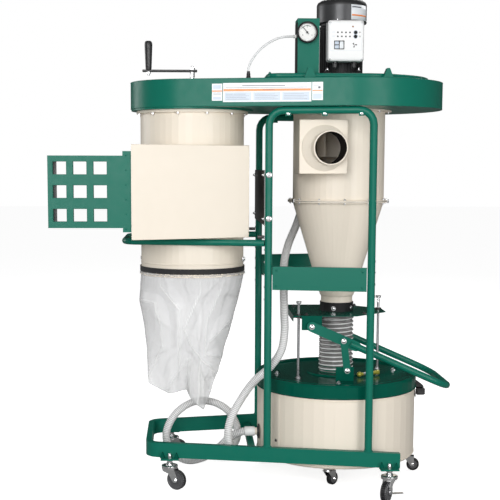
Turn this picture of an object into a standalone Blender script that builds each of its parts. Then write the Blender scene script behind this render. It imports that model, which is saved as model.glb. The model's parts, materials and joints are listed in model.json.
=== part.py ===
# Two-stage cyclone dust collector on a wheeled frame: blower housing with motor on top,
# cyclone over a roll-out drum, filter canister with exhaust box and clear dust bag.
import math

import bmesh
import bpy
from mathutils import Matrix, Vector

for old in list(bpy.data.objects):
    bpy.data.objects.remove(old, do_unlink=True)

# ---------------------------------------------------------------- driving dimensions (metres)
CX = 0.32335             # cyclone, drum and motor axis
CY = 0.0                 # the machine is laid out about this line
CAN_U = -0.5676          # canister axis, measured from the cyclone axis
MOTOR_U = 0.004          # motor axis, measured from the cyclone axis
GAP = 0.0003             # assembly gap between touching parts

FRAME_W0 = 0.344         # half width of the frame at the cyclone axis
FRAME_T = 0.2022         # how fast each side spreads towards the open right end
RAIL_Z0 = 0.1152
RAIL_Z1 = 0.1710
RAIL_T = 0.022
RAIL_RIGHT = 0.189
RAIL_LEFT = -0.747
RAIL_R = 0.060
BAR_U = -0.3395          # low cross bar
POST_R = 0.014
POST_UL = -0.291
POST_UR = 0.0766
POST_BEND = 0.052
PANEL_Z0 = 0.7625
HANDLE_Z = 0.9331
HANDLE_R = 0.0122
HANDLE_U = -0.822

HOUSING_Z0 = 1.4274
HOUSING_Z1 = 1.5276
HOUSING_RL = 0.2357
HOUSING_RR = 0.3563
HOUSING_UR = 0.0349
SHEET = 0.003
TOP_PLATE_Z1 = 1.5452
TOP_PLATE_R = 0.303
MOTOR_R = 0.083
MOTOR_Z1 = 1.7537
COWL_R = 0.0955
MACHINE_TOP = 1.8390

CAN_R = 0.1992
CAN_Z0 = 0.8030
CAN_FLANGE_R = 0.2135
CAN_Z1 = 1.4209
BAG_TIP_Z = 0.2430
BAND_Z0 = 0.8103
BAND_Z1 = 0.8307
BOX_TURN = math.radians(20.0)
BOX_NEAR = 0.120         # back face of the exhaust box, from the canister axis
BOX_FAR = 0.270          # front face of the exhaust box, from the canister axis
BOX_END_U = -0.7848      # left end of the exhaust box, from the cyclone axis
BOX_S1 = 0.1226
BOX_Z0 = 0.9515
BOX_Z1 = 1.2880
CRANK_ARM = 0.167        # crank axis to grip axis

CYC_R = 0.1764
CYC_Z0 = 1.0812
CYC_FLANGE_R = 0.1955
CONE_Z1 = 1.0809
CONE_OUT_R = 0.0615
CONE_OUT_Z = 0.6600
INLET_Z0 = 1.1870
INLET_Z1 = 1.3820
INLET_Y = -0.240
COLLAR_R = 0.0610
COLLAR_Y = -0.285
CUFF_Z0 = 0.6422
CUFF_Z1 = 0.6860

DRUM_R = 0.3107
DRUM_Z0 = 0.0916
DRUM_Z1 = 0.3569
LID_R = 0.3150
LID_Z1 = 0.4090
LID_COLLAR_Z = 0.4320
PLATE_Z0 = 0.6480
PLATE_Z1 = 0.6510
PIVOT_U = -0.117         # lift lever pivot
PIVOT_Z = 0.610
LINK_U = 0.004           # lever to link pin
LINK_Z = 0.556
LUG_U = 0.019            # link to lid pin
LUG_Z = 0.4420
ARM_Y = 0.180            # lever arms run at this distance either side
NOSE_U = 0.4205
NOSE_Z = 0.3712          # the tube passes just over the drum's rim
LEVER_R = 0.0130
LEVER_BEND = 0.085
LEVER_TUBE_IN = 0.162    # pivot to the inner end of the lever tube
LEVER_ARM_OUT = 0.185    # pivot to the outer end of the flat lever arms
ARM_T = 0.0052
HOSE_R = 0.0158
TUBE_R = 0.0040

GREEN = (0.018, 0.190, 0.118, 1.0)
BEIGE = (0.800, 0.735, 0.610, 1.0)
BLACK = (0.018, 0.018, 0.020, 1.0)
WHITE = (0.860, 0.860, 0.840, 1.0)
STEEL = (0.620, 0.620, 0.620, 1.0)
GREY = (0.520, 0.520, 0.540, 1.0)
CLEAR = (0.820, 0.840, 0.850, 1.0)

# ---------------------------------------------------------------- collections and materials
parts = bpy.data.collections.new("dust_collector")
cutters = bpy.data.collections.new("cutters")
bpy.context.scene.collection.children.link(parts)
bpy.context.scene.collection.children.link(cutters)
cutters.hide_render = True


def material(name, color, rough, metal=0.0):
    mat = bpy.data.materials.new(name)
    mat.use_nodes = True
    bsdf = mat.node_tree.nodes["Principled BSDF"]
    bsdf.inputs["Base Color"].default_value = color
    bsdf.inputs["Roughness"].default_value = rough
    bsdf.inputs["Metallic"].default_value = metal
    return mat


def paint(obj, slot, color, rough=0.45, metal=0.0):
    obj.data.materials.clear()
    obj.data.materials.append(material(slot, color, rough, metal))
    return obj


# ---------------------------------------------------------------- shape helpers
def from_bmesh(name, bm, coll=None, smooth=True):
    bmesh.ops.remove_doubles(bm, verts=bm.verts, dist=1e-6)
    bmesh.ops.dissolve_degenerate(bm, edges=bm.edges, dist=1e-7)
    bmesh.ops.recalc_face_normals(bm, faces=bm.faces)
    mesh = bpy.data.meshes.new(name)
    bm.to_mesh(mesh)
    bm.free()
    obj = bpy.data.objects.new(name, mesh)
    (coll or parts).objects.link(obj)
    if smooth:
        for poly in mesh.polygons:
            poly.use_smooth = True
        mesh.set_sharp_from_angle(angle=math.radians(35.0))
    return obj


def place(obj, matrix):
    obj.data.transform(matrix)
    obj.data.update()
    return obj


def at(u, v, z):
    return Matrix.Translation((CX + u, CY + v, z))


def lathe_bm(profile, steps):
    bm = bmesh.new()
    verts = [bm.verts.new((r, 0.0, z)) for r, z in profile]
    edges = [bm.edges.new((verts[i], verts[(i + 1) % len(verts)])) for i in range(len(verts))]
    bmesh.ops.spin(bm, geom=verts + edges, cent=(0, 0, 0), axis=(0, 0, 1), angle=math.tau,
                   steps=steps, use_merge=True, use_duplicate=False)
    return bm


def lathe(name, profile, steps=48, coll=None):
    return from_bmesh(name, lathe_bm(profile, steps), coll)


def box_bm(size, bevel=0.0, segments=2):
    bm = bmesh.new()
    bmesh.ops.create_cube(bm, size=1.0)
    bmesh.ops.scale(bm, vec=size, verts=bm.verts)
    if bevel:
        bmesh.ops.bevel(bm, geom=list(bm.edges), offset=bevel, segments=segments,
                        profile=0.5, affect="EDGES")
    return bm


def box(name, lo, hi, bevel=0.0, segments=2, coll=None):
    size = [hi[i] - lo[i] for i in range(3)]
    mid = [(hi[i] + lo[i]) / 2 for i in range(3)]
    obj = from_bmesh(name, box_bm(size, bevel, segments), coll)
    return place(obj, Matrix.Translation(mid))


def prism(name, outline, z0, z1, coll=None):
    bm = bmesh.new()
    low = [bm.verts.new((x, y, z0)) for x, y in outline]
    high = [bm.verts.new((x, y, z1)) for x, y in outline]
    count = len(outline)
    bm.faces.new(list(reversed(low)))
    bm.faces.new(high)
    for i in range(count):
        j = (i + 1) % count
        bm.faces.new((low[i], low[j], high[j], high[i]))
    return from_bmesh(name, bm, coll)


def tube(name, points, radius, sides=12, coll=None, first=None, last=None):
    path = [Vector(p) for p in points]
    bm = bmesh.new()
    rings = []
    normal = None
    for i, p in enumerate(path):
        before = path[max(i - 1, 0)]
        after = path[min(i + 1, len(path) - 1)]
        tangent = (after - before).normalized()
        if i == 0 and first:
            tangent = Vector(first)
        if i == len(path) - 1 and last:
            tangent = Vector(last)
        if normal is None:
            guess = Vector((0, 0, 1)) if abs(tangent.z) < 0.9 else Vector((0, 1, 0))
            normal = (guess - tangent * guess.dot(tangent)).normalized()
        else:
            normal = (normal - tangent * normal.dot(tangent)).normalized()
        side = tangent.cross(normal)
        ring = []
        for k in range(sides):
            a = math.tau * k / sides
            ring.append(bm.verts.new(p + radius * (math.cos(a) * normal + math.sin(a) * side)))
        rings.append(ring)
    for a, b in zip(rings, rings[1:]):
        for k in range(sides):
            j = (k + 1) % sides
            bm.faces.new((a[k], a[j], b[j], b[k]))
    bm.faces.new(list(reversed(rings[0])))
    bm.faces.new(rings[-1])
    return from_bmesh(name, bm, coll)


def fillet(points, radii, count=6):
    out = [Vector(points[0])]
    for i in range(1, len(points) - 1):
        p = Vector(points[i])
        a = (Vector(points[i - 1]) - p).normalized()
        b = (Vector(points[i + 1]) - p).normalized()
        r = radii[i - 1]
        half = a.angle(b) / 2
        cut = r / math.tan(half)
        centre = p + (a + b).normalized() * (r / math.sin(half))
        start = p + a * cut - centre
        end = p + b * cut - centre
        total = start.angle(end)
        for k in range(count + 1):
            t = k / count
            mix = (start * math.sin((1 - t) * total) + end * math.sin(t * total)) / math.sin(total)
            out.append(centre + mix)
    out.append(Vector(points[-1]))
    return out


def smooth_path(points, spacing):
    pts = [Vector(p) for p in points]
    fine = []
    for i in range(len(pts) - 1):
        p0 = pts[i - 1] if i else pts[0] * 2 - pts[1]
        p1 = pts[i]
        p2 = pts[i + 1]
        p3 = pts[i + 2] if i + 2 < len(pts) else pts[-1] * 2 - pts[-2]
        d1 = max((p2 - p1).length, 1e-6) ** 0.5
        d0 = max((p1 - p0).length, 1e-6) ** 0.5
        d2 = max((p3 - p2).length, 1e-6) ** 0.5
        m1 = (p2 - p1) + d1 * ((p1 - p0) / d0 - (p2 - p0) / (d0 + d1))
        m2 = (p2 - p1) + d1 * ((p3 - p2) / d2 - (p3 - p1) / (d1 + d2))
        for k in range(24):
            t = k / 24
            h1 = 2 * t ** 3 - 3 * t ** 2 + 1
            h2 = t ** 3 - 2 * t ** 2 + t
            h3 = -2 * t ** 3 + 3 * t ** 2
            h4 = t ** 3 - t ** 2
            fine.append(p1 * h1 + m1 * h2 + p2 * h3 + m2 * h4)
    fine.append(pts[-1])
    total = sum((b - a).length for a, b in zip(fine, fine[1:]))
    count = max(2, round(total / spacing))
    step = total / count
    out = [fine[0]]
    walked = 0.0
    target = step
    for a, b in zip(fine, fine[1:]):
        length = (b - a).length
        while walked + length >= target - 1e-9 and len(out) < count:
            out.append(a.lerp(b, (target - walked) / length))
            target += step
        walked += length
    out.append(fine[-1])
    return out


def boolean(obj, other, operation="DIFFERENCE"):
    if other.name not in cutters.objects:
        for coll in list(other.users_collection):
            coll.objects.unlink(other)
        cutters.objects.link(other)
    other.hide_render = True
    other.display_type = "WIRE"
    mod = obj.modifiers.new(operation.lower(), "BOOLEAN")
    mod.operation = operation
    mod.solver = "EXACT"
    mod.object = other
    return obj


def arc(cx, cy, r, a0, a1, count):
    return [(cx + r * math.cos(math.radians(a0 + (a1 - a0) * k / count)),
             cy + r * math.sin(math.radians(a0 + (a1 - a0) * k / count))) for k in range(count + 1)]


def side_y(u):
    return FRAME_W0 + FRAME_T * u


def aim(direction):
    return Vector((0, 0, 1)).rotation_difference(Vector(direction).normalized()).to_matrix().to_4x4()


# ---------------------------------------------------------------- wheeled base
def make_base_frame():
    outer = fillet([(RAIL_RIGHT, -side_y(RAIL_RIGHT), 0), (RAIL_LEFT, -side_y(RAIL_LEFT), 0),
                    (RAIL_LEFT, side_y(RAIL_LEFT), 0), (RAIL_RIGHT, side_y(RAIL_RIGHT), 0)],
                   [RAIL_R, RAIL_R], 8)
    cos = 1 / math.sqrt(1 + FRAME_T ** 2)
    shrink = RAIL_T / cos
    inner = fillet([(RAIL_RIGHT, -side_y(RAIL_RIGHT) + shrink, 0),
                    (RAIL_LEFT + RAIL_T, -side_y(RAIL_LEFT + RAIL_T) + shrink, 0),
                    (RAIL_LEFT + RAIL_T, side_y(RAIL_LEFT + RAIL_T) - shrink, 0),
                    (RAIL_RIGHT, side_y(RAIL_RIGHT) - shrink, 0)],
                   [RAIL_R - RAIL_T, RAIL_R - RAIL_T], 8)
    outline = [(p.x + CX, p.y + CY) for p in outer] + [(p.x + CX, p.y + CY) for p in reversed(inner)]
    frame = prism("base_frame", outline, RAIL_Z0, RAIL_Z1)
    reach = side_y(BAR_U) - RAIL_T * 0.6
    bar = box("cross_bar", (CX + BAR_U - 0.0125, CY - reach, RAIL_Z0 + 0.0006),
              (CX + BAR_U + 0.0125, CY + reach, RAIL_Z0 + 0.0250))
    boolean(frame, bar, "UNION")
    for i, (u, v, _) in enumerate(CASTERS):
        pad = box("caster_pad_%d" % i, (CX + u - 0.034, CY + v - 0.018, RAIL_Z0 - 0.0044),
                  (CX + u + 0.034, CY + v + 0.018, RAIL_Z0 + 0.0010))
        boolean(frame, pad, "UNION")
    return paint(frame, "green_paint", GREEN, 0.4)


def make_upright(name, sign):
    def y(u):
        return sign * (side_y(u) - 0.013)
    top = HOUSING_Z0 - POST_R - GAP
    foot = RAIL_Z1 + GAP
    pts = fillet([(POST_UL, y(POST_UL), foot), (POST_UL, y(POST_UL), top),
                  (POST_UR, y(POST_UR), top), (POST_UR, y(POST_UR), foot)],
                 [POST_BEND, POST_BEND], 5)
    obj = tube(name, [p + Vector((CX, CY, 0)) for p in pts], POST_R, 14)
    return paint(obj, "green_paint", GREEN, 0.4)


def make_cross_panel(name, sign):
    start = POST_UL + POST_R + 0.0006
    end = POST_UR - POST_R - 0.0030
    length = (end - start) * math.sqrt(1 + FRAME_T ** 2)
    prof = [(0, 0), (0.018, 0), (0.018, 0.003), (0.003, 0.003), (0.003, 0.0833),
            (0.018, 0.0833), (0.018, 0.0863), (0, 0.0863)]
    bm = bmesh.new()
    near = [bm.verts.new((0, d, z)) for d, z in prof]
    far = [bm.verts.new((length, d, z)) for d, z in prof]
    bm.faces.new(list(reversed(near)))
    bm.faces.new(far)
    for i in range(len(prof)):
        j = (i + 1) % len(prof)
        bm.faces.new((near[i], near[j], far[j], far[i]))
    obj = from_bmesh(name, bm)
    turn = Matrix.Rotation(-math.atan(FRAME_T), 4, "Z")
    place(obj, at(start, -side_y(start) + 0.004, PANEL_Z0) @ turn)
    if sign > 0:
        place(obj, Matrix.Translation((0, 2 * CY, 0)) @ Matrix.Diagonal((1, -1, 1, 1)))
        obj.data.flip_normals()
    return paint(obj, "green_paint", GREEN, 0.4)


def make_push_handle():
    start = POST_UL - POST_R - GAP

    def y(u):
        return side_y(u) - 0.013
    pts = fillet([(start, -y(start), HANDLE_Z), (HANDLE_U, -y(HANDLE_U), HANDLE_Z),
                  (HANDLE_U, y(HANDLE_U), HANDLE_Z), (start, y(start), HANDLE_Z)],
                 [0.055, 0.055], 6)
    obj = tube("push_handle", [p + Vector((CX, CY, 0)) for p in pts], HANDLE_R, 12)
    return paint(obj, "green_paint", GREEN, 0.4)


# ---------------------------------------------------------------- casters
# stem position and the direction in which the wheel trails
CASTERS = (
    (0.150, -(FRAME_W0 + FRAME_T * 0.150) - 0.009, (-0.50, -0.87)),
    (-0.655, -(FRAME_W0 - FRAME_T * 0.655) - 0.009, (0.87, -0.50)),
    (0.150, (FRAME_W0 + FRAME_T * 0.150) + 0.009, (-0.50, 0.87)),
    (-0.655, (FRAME_W0 - FRAME_T * 0.655) + 0.009, (0.87, 0.50)),
)
CASTER_NAMES = ("front_right", "front_left", "rear_right", "rear_left")
WHEEL_R = 0.0375
WHEEL_TRAIL = 0.0300
PEDAL_IN = 0.0230        # wheel centre to the inner end of the brake pedal
PEDAL_OUT = 0.0640
PEDAL_Z = 0.0300


def fork_cheek(name, profile, y0, y1):
    """One flat side of a caster fork, cut out along its profile of trail and height."""
    bm = bmesh.new()
    near = [bm.verts.new((x, y0, z)) for x, z in profile]
    far = [bm.verts.new((x, y1, z)) for x, z in profile]
    bm.faces.new(near)
    bm.faces.new(list(reversed(far)))
    for k in range(len(profile)):
        j = (k + 1) % len(profile)
        bm.faces.new((near[j], near[k], far[k], far[j]))
    return from_bmesh(name, bm, cutters)


def make_caster(label, u, v, trail):
    turn = at(u, v, 0) @ Matrix.Rotation(math.atan2(trail[1], trail[0]), 4, "Z")
    fork = lathe("caster_fork_" + label, [(0, 0.0780), (0.0280, 0.0780), (0.0295, 0.0795), (0.0295, 0.0830),
                                          (0.0282, 0.0842), (0.0282, 0.0850), (0.0300, 0.0862),
                                          (0.0300, 0.0900), (0.0230, 0.0925), (0.0105, 0.0935),
                                          (0.0090, 0.0945), (0.0090, 0.1105), (0, 0.1105)], 24)
    place(fork, turn)
    profile = [(-0.0255, 0.0790), (0.0270, 0.0790), (0.0400, 0.0500), (0.0400, 0.0340), (0.0350, 0.0290),
               (0.0250, 0.0290), (0.0190, 0.0350), (0.0020, 0.0600), (-0.0220, 0.0680)]
    for sign in (-1, 1):
        near = min(sign * 0.0135, sign * 0.0157)
        cheek = fork_cheek("caster_cheek_%s_%d" % (label, sign), profile, near, near + 0.0022)
        boolean(fork, place(cheek, turn), "UNION")
    paint(fork, "chrome", STEEL, 0.15, 1.0)
    wheel = lathe("caster_wheel_" + label, [(0, -0.0125), (0.0120, -0.0125), (0.0125, -0.0100),
                                            (0.0270, -0.0100),
                                            (0.0290, -0.0120), (0.0345, -0.0120), (WHEEL_R, -0.0080),
                                            (WHEEL_R, 0.0080), (0.0345, 0.0120), (0.0290, 0.0120),
                                            (0.0270, 0.0100), (0.0125, 0.0100), (0.0120, 0.0125),
                                            (0, 0.0125)], 28)
    place(wheel, turn @ Matrix.Translation((WHEEL_TRAIL, 0, WHEEL_R)) @ aim((0, 1, 0)))
    paint(wheel, "grey_plastic", (0.08, 0.08, 0.085, 1.0), 0.4)


def make_brake_pedal():
    u, v, trail = CASTERS[0]
    d = Vector((trail[0], trail[1], 0)).normalized()
    obj = box("brake_pedal", (PEDAL_IN, -0.0075, -0.0015), (PEDAL_OUT, 0.0075, 0.0015), 0.0008, 1)
    place(obj, at(u + d.x * WHEEL_TRAIL, v + d.y * WHEEL_TRAIL,
                  PEDAL_Z) @ Matrix.Rotation(math.radians(8.0), 4, "Z"))
    return paint(obj, "chrome", STEEL, 0.15, 1.0)


# ---------------------------------------------------------------- blower and motor
def housing_outline(inset):
    rl = HOUSING_RL - inset
    rr = HOUSING_RR - inset
    dist = HOUSING_UR - CAN_U
    lean = math.degrees(math.asin((rr - rl) / dist))
    right = arc(CX + HOUSING_UR, CY, rr, -90 - lean, 90 + lean, 36)
    left = arc(CX + CAN_U, CY, rl, 90 + lean, 270 - lean, 22)
    return right + left


def make_blower_housing():
    obj = prism("blower_housing", housing_outline(0.0), HOUSING_Z0, HOUSING_Z1)
    foot = lathe("housing_foot", [(0, CAN_Z1 + GAP), (0.2335, CAN_Z1 + GAP), (0.2335, HOUSING_Z0 + 0.002),
                                  (0, HOUSING_Z0 + 0.002)], 44)
    place(foot, at(CAN_U, 0, 0))
    boolean(obj, foot, "UNION")
    port = lathe("housing_port", [(0, 1.4050), (0.0140, 1.4050), (0.0140, HOUSING_Z0 + 0.001),
                                  (0, HOUSING_Z0 + 0.001)], 16)
    place(port, at(HOSE_TOP[0], HOSE_TOP[1], 0))
    boolean(obj, port, "UNION")
    boolean(obj, prism("housing_room", housing_outline(SHEET), HOUSING_Z0 + SHEET, HOUSING_Z1 - SHEET))
    mouth = lathe("housing_mouth_left", [(0, CAN_Z1 - 0.01), (0.150, CAN_Z1 - 0.01),
                                         (0.150, HOUSING_Z0 + 0.02), (0, HOUSING_Z0 + 0.02)], 28)
    place(mouth, at(CAN_U, 0, 0))
    boolean(obj, mouth)
    eye = lathe("housing_mouth_right", [(0, HOUSING_Z0 - 0.02), (0.0850, HOUSING_Z0 - 0.02),
                                        (0.0850, HOUSING_Z0 + 0.02), (0, HOUSING_Z0 + 0.02)], 28)
    place(eye, at(0, 0, 0))
    boolean(obj, eye)
    for i, (u, r) in enumerate(((CAN_U, 0.0100), (MOTOR_U, 0.0140))):
        hole = lathe("housing_shaft_hole_%d" % i, [(0, HOUSING_Z1 - 0.02), (r, HOUSING_Z1 - 0.02),
                                                   (r, HOUSING_Z1 + 0.02), (0, HOUSING_Z1 + 0.02)], 16)
        place(hole, at(u, 0, 0))
        boolean(obj, hole)
    return paint(obj, "green_paint", GREEN, 0.4)


def make_motor_plate():
    arcpts = arc(HOUSING_UR, 0, TOP_PLATE_R, -83, 83, 30)
    corner = fillet([(arcpts[-1][0], arcpts[-1][1], 0), (-0.300, 0.286, 0), (-0.300, -0.286, 0),
                     (arcpts[0][0], arcpts[0][1], 0)], [0.05, 0.05], 5)
    outline = [(CX + x, CY + y) for x, y in arcpts[1:-1]] + [(CX + p.x, CY + p.y) for p in corner]
    obj = prism("motor_plate", outline, HOUSING_Z1 + GAP, TOP_PLATE_Z1)
    bev = obj.modifiers.new("edge", "BEVEL")
    bev.limit_method = "ANGLE"
    bev.angle_limit = math.radians(50)
    bev.width = 0.006
    bev.segments = 2
    for i, (u0, u1) in enumerate(((-0.169, -0.127), (0.115, 0.152))):
        bm = bmesh.new()
        prof = [(u0, HOUSING_Z1 + 0.0010), (u1, HOUSING_Z1 + 0.0010), (u1 - 0.014, 1.5630),
                (u0 + 0.014, 1.5630)]
        near = [bm.verts.new((CX + u, CY - 0.3060, z)) for u, z in prof]
        far = [bm.verts.new((CX + u, CY - 0.2700, z)) for u, z in prof]
        bm.faces.new(near)
        bm.faces.new(list(reversed(far)))
        for k in range(4):
            j = (k + 1) % 4
            bm.faces.new((near[j], near[k], far[k], far[j]))
        boolean(obj, from_bmesh("lifting_lug_%d" % i, bm), "UNION")
    hole = lathe("motor_plate_hole", [(0, 1.50), (0.014, 1.50), (0.014, 1.58), (0, 1.58)], 16)
    boolean(obj, place(hole, at(MOTOR_U, 0, 0)))
    return paint(obj, "green_paint", GREEN, 0.4)


def make_motor():
    z0 = TOP_PLATE_Z1 + GAP
    body = lathe("motor_body", [(0.0120, z0), (0.0940, z0), (0.0955, z0 + 0.002), (0.0955, z0 + 0.013),
                                (0.0830, z0 + 0.020), (MOTOR_R, MOTOR_Z1 - 0.004),
                                (MOTOR_R - 0.004, MOTOR_Z1), (0.0, MOTOR_Z1), (0.0, MOTOR_Z1 - 0.02),
                                (0.0120, MOTOR_Z1 - 0.02)], 36)
    place(body, at(MOTOR_U, 0, 0))
    paint(body, "black_paint", BLACK, 0.5)
    cowl = lathe("fan_cowl", [(0, MOTOR_Z1 + GAP), (COWL_R, MOTOR_Z1 + GAP), (COWL_R, MACHINE_TOP - 0.020),
                              (COWL_R - 0.004, MACHINE_TOP - 0.009), (COWL_R - 0.018, MACHINE_TOP - 0.002),
                              (COWL_R - 0.035, MACHINE_TOP), (0, MACHINE_TOP)], 36)
    place(cowl, at(MOTOR_U, 0, 0))
    paint(cowl, "grey_metal", GREY, 0.4, 0.6)


def make_impeller():
    hub_z = HOUSING_Z0 + 0.020
    obj = lathe("impeller", [(0, hub_z), (0.150, hub_z), (0.150, hub_z + 0.003), (0.032, hub_z + 0.003),
                             (0.032, hub_z + 0.045), (0.0100, hub_z + 0.050), (0.0100, MOTOR_Z1 - 0.0220),
                             (0, MOTOR_Z1 - 0.0220)], 28)
    place(obj, at(MOTOR_U, 0, 0))
    for i in range(6):
        blade = box("impeller_blade_%d" % i, (0.028, -0.0015, hub_z + 0.0015), (0.145, 0.0015,
                                                                                hub_z + 0.060))
        place(blade, at(MOTOR_U, 0, 0) @ Matrix.Rotation(math.tau * i / 6, 4, "Z"))
        boolean(obj, blade, "UNION")
    return paint(obj, "aluminium", STEEL, 0.35, 1.0)


def make_control_box():
    obj = box("control_box", (CX - 0.0660, CY - 0.1475, 1.6010), (CX + 0.0690, CY - 0.0835, 1.7510), 0.010,
              3)
    for i, z in enumerate(BUTTON_Z):
        well = lathe("button_well_%d" % i, [(0, 0), (0.0066, 0), (0.0066, 0.0080), (0, 0.0080)], 16)
        boolean(obj, place(well, at(BUTTON_U, -0.1425, z) @ aim((0, -1, 0))))
    return paint(obj, "white_plastic", WHITE, 0.4)


BUTTON_U = 0.0366
BUTTON_Z = (1.7060, 1.6912)


def make_buttons():
    for name, z, color in (("button_start", BUTTON_Z[0], BLACK), ("button_stop", BUTTON_Z[1], BLACK)):
        obj = lathe(name, [(0, 0.0020), (0.0061, 0.0020), (0.0061, 0.0072), (0.0052, 0.0080), (0, 0.0080)],
                    16)
        place(obj, at(BUTTON_U, -0.1425, z) @ aim((0, -1, 0)))
        paint(obj, "black_rubber", color, 0.6)


GAUGE_U = -0.150
GAUGE_Z = 1.6970
BRACKET_U0 = -0.1835
BRACKET_U1 = -0.1040
BRACKET_Y = -0.2000


def make_gauge():
    u0 = BRACKET_U0
    y = BRACKET_Y
    outline = [(u0, y), (BRACKET_U1, y), (BRACKET_U1, y + 0.0025), (u0 + 0.0025, y + 0.0025),
               (u0 + 0.0025, y + 0.095), (u0, y + 0.095)]
    bracket = prism("gauge_bracket", [(CX + a, CY + b) for a, b in outline], TOP_PLATE_Z1 + GAP, 1.7490)
    paint(bracket, "green_paint", GREEN, 0.4)
    body = lathe("gauge_body", [(0, 0), (0.034, 0), (0.0355, 0.003), (0.0355, 0.012), (0.0385, 0.014),
                                (0.0385, 0.020), (0.0350, 0.0225), (0.0325, 0.0205), (0.0325, 0.010),
                                (0, 0.010)], 28)
    face = at(GAUGE_U, BRACKET_Y - GAP, GAUGE_Z) @ aim((0, -1, 0))
    place(body, face)
    paint(body, "black_plastic", BLACK, 0.4)
    needle = lathe("gauge_needle", [(0, 0.0105), (0.0040, 0.0105), (0.0040, 0.0150), (0, 0.0150)], 14)
    place(needle, face)
    pointer = box("gauge_pointer", (-0.0013, -0.0090, 0.0120), (0.0013, 0.0250, 0.0132))
    place(pointer, face @ Matrix.Rotation(math.radians(40), 4, "Z"))
    boolean(needle, pointer, "UNION")
    paint(needle, "black_plastic", BLACK, 0.4)


FITTING = (-0.3630, -0.2000)


def make_pressure_line():
    end = HOUSING_Z1 + GAP
    route = [(BRACKET_U0 - GAP, -0.150, 1.6890), (-0.1980, -0.150, 1.6890), (-0.225, -0.155, 1.6875),
             (-0.262, -0.166, 1.6770),
             (-0.313, -0.182, 1.6440), (-0.346, -0.194, 1.6050), (FITTING[0], FITTING[1], 1.5700),
             (FITTING[0], FITTING[1], 1.5450), (FITTING[0], FITTING[1], end)]
    pts = smooth_path(route, 0.014)
    obj = tube("pressure_tube", [p + Vector((CX, CY, 0)) for p in pts], TUBE_R, 8, first=(-1, 0, 0),
               last=(0, 0, -1))
    paint(obj, "clear_plastic", CLEAR, 0.1)


# ---------------------------------------------------------------- filter canister side
def make_canister():
    r = CAN_R
    t = 0.002
    obj = lathe("filter_canister", [(r - t, CAN_Z0), (r, CAN_Z0), (r, CAN_Z1 - 0.0108), (CAN_FLANGE_R,
                                                                                         CAN_Z1 - 0.0104),
                                    (CAN_FLANGE_R, CAN_Z1), (0.155, CAN_Z1), (0.155, CAN_Z1 - 0.003),
                                    (r - t, CAN_Z1 - 0.003)], 48)
    place(obj, at(CAN_U, 0, 0))
    paint(obj, "beige_paint", BEIGE, 0.45)


def make_cartridge():
    count = 26
    outer = []
    for i in range(count * 2):
        a = math.tau * i / (count * 2)
        r = 0.1780 if i % 2 else 0.1560
        outer.append((r * math.cos(a), r * math.sin(a)))
    bm = bmesh.new()
    z0 = CAN_Z0 + 0.060
    z1 = CAN_Z1 - 0.0035
    rings = []
    for inner, z in ((0, z0), (0, z1), (1, z1), (1, z0)):
        ring = []
        for x, y in outer:
            s = (math.hypot(x, y) - 0.0060) / math.hypot(x, y) if inner else 1.0
            ring.append(bm.verts.new((x * s, y * s, z)))
        rings.append(ring)
    for a in range(4):
        b = (a + 1) % 4
        for k in range(count * 2):
            j = (k + 1) % (count * 2)
            bm.faces.new((rings[a][k], rings[a][j], rings[b][j], rings[b][k]))
    obj = from_bmesh("filter_cartridge", bm, smooth=False)
    place(obj, at(CAN_U, 0, 0))
    paint(obj, "filter_media", WHITE, 0.9)


def turned(u, v):
    return at(CAN_U, 0, 0) @ Matrix.Rotation(BOX_TURN, 4, "Z") @ Matrix.Translation((u, v, 0))


def box_end(v):
    """Where the left end plane of the exhaust box meets the line v of the turned box."""
    return (BOX_END_U - CAN_U + v * math.sin(BOX_TURN)) / math.cos(BOX_TURN)


def exhaust_block(name):
    plan = ((box_end(-BOX_FAR), -BOX_FAR), (BOX_S1, -BOX_FAR), (BOX_S1, -BOX_NEAR), (box_end(-BOX_NEAR),
                                                                                     -BOX_NEAR))
    bm = bmesh.new()
    low = [bm.verts.new((u, v, BOX_Z0)) for u, v in plan]
    high = [bm.verts.new((u, v, BOX_Z1)) for u, v in plan]
    bm.faces.new(list(reversed(low)))
    bm.faces.new(high)
    for k in range(4):
        j = (k + 1) % 4
        bm.faces.new((low[k], low[j], high[j], high[k]))
    return place(from_bmesh(name, bm, smooth=False), turned(0, 0))


def make_exhaust_box():
    obj = exhaust_block("exhaust_box")
    room = box("exhaust_room", (box_end(-BOX_FAR) - 0.02, -BOX_FAR + 0.002, BOX_Z0 + 0.002),
               (BOX_S1 - 0.002, -BOX_NEAR - 0.002, BOX_Z1 - 0.002), coll=cutters)
    boolean(obj, place(room, turned(0, 0)))
    round_cut = lathe("exhaust_saddle", [(0, 0.80), (CAN_R + 0.0008, 0.80), (CAN_R + 0.0008, 1.40),
                                         (0, 1.40)], 48)
    boolean(obj, place(round_cut, at(CAN_U, 0, 0)))
    paint(obj, "beige_paint", BEIGE, 0.45)


def make_exhaust_grille():
    u0 = -1.0800
    u1 = BOX_END_U - 0.0008
    y0 = -0.3600
    y1 = -0.2110
    z0 = 0.9930
    z1 = 1.2490
    t = 0.0025
    obj = box("exhaust_grille", (CX + u0, CY + y0, z0), (CX + u1, CY + y1, z1))
    room = box("grille_room", (CX + u0 + t, CY + y0 + t, z0 + t), (CX + u1 + 0.03, CY + y1 + 0.02, z1 - t),
               coll=cutters)
    boolean(obj, room)
    flange = box("grille_flange", (CX - 0.8160, CY + y0 + 0.0006, 0.9780),
                 (CX + u1, CY + y0 + t, 1.2650), coll=cutters)
    boolean(obj, flange, "UNION")
    for i in range(3):
        for k in range(3):
            wu = u0 + 0.0165 + 0.0715 * i
            wz = z0 + 0.0215 + 0.0835 * k
            win = box("grille_window_%d%d" % (i, k), (CX + wu, CY + y0 - 0.01, wz),
                      (CX + wu + 0.0505, CY + y0 + 0.01, wz + 0.0480), coll=cutters)
            boolean(obj, win)
    paint(obj, "green_paint", GREEN, 0.4)


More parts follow.
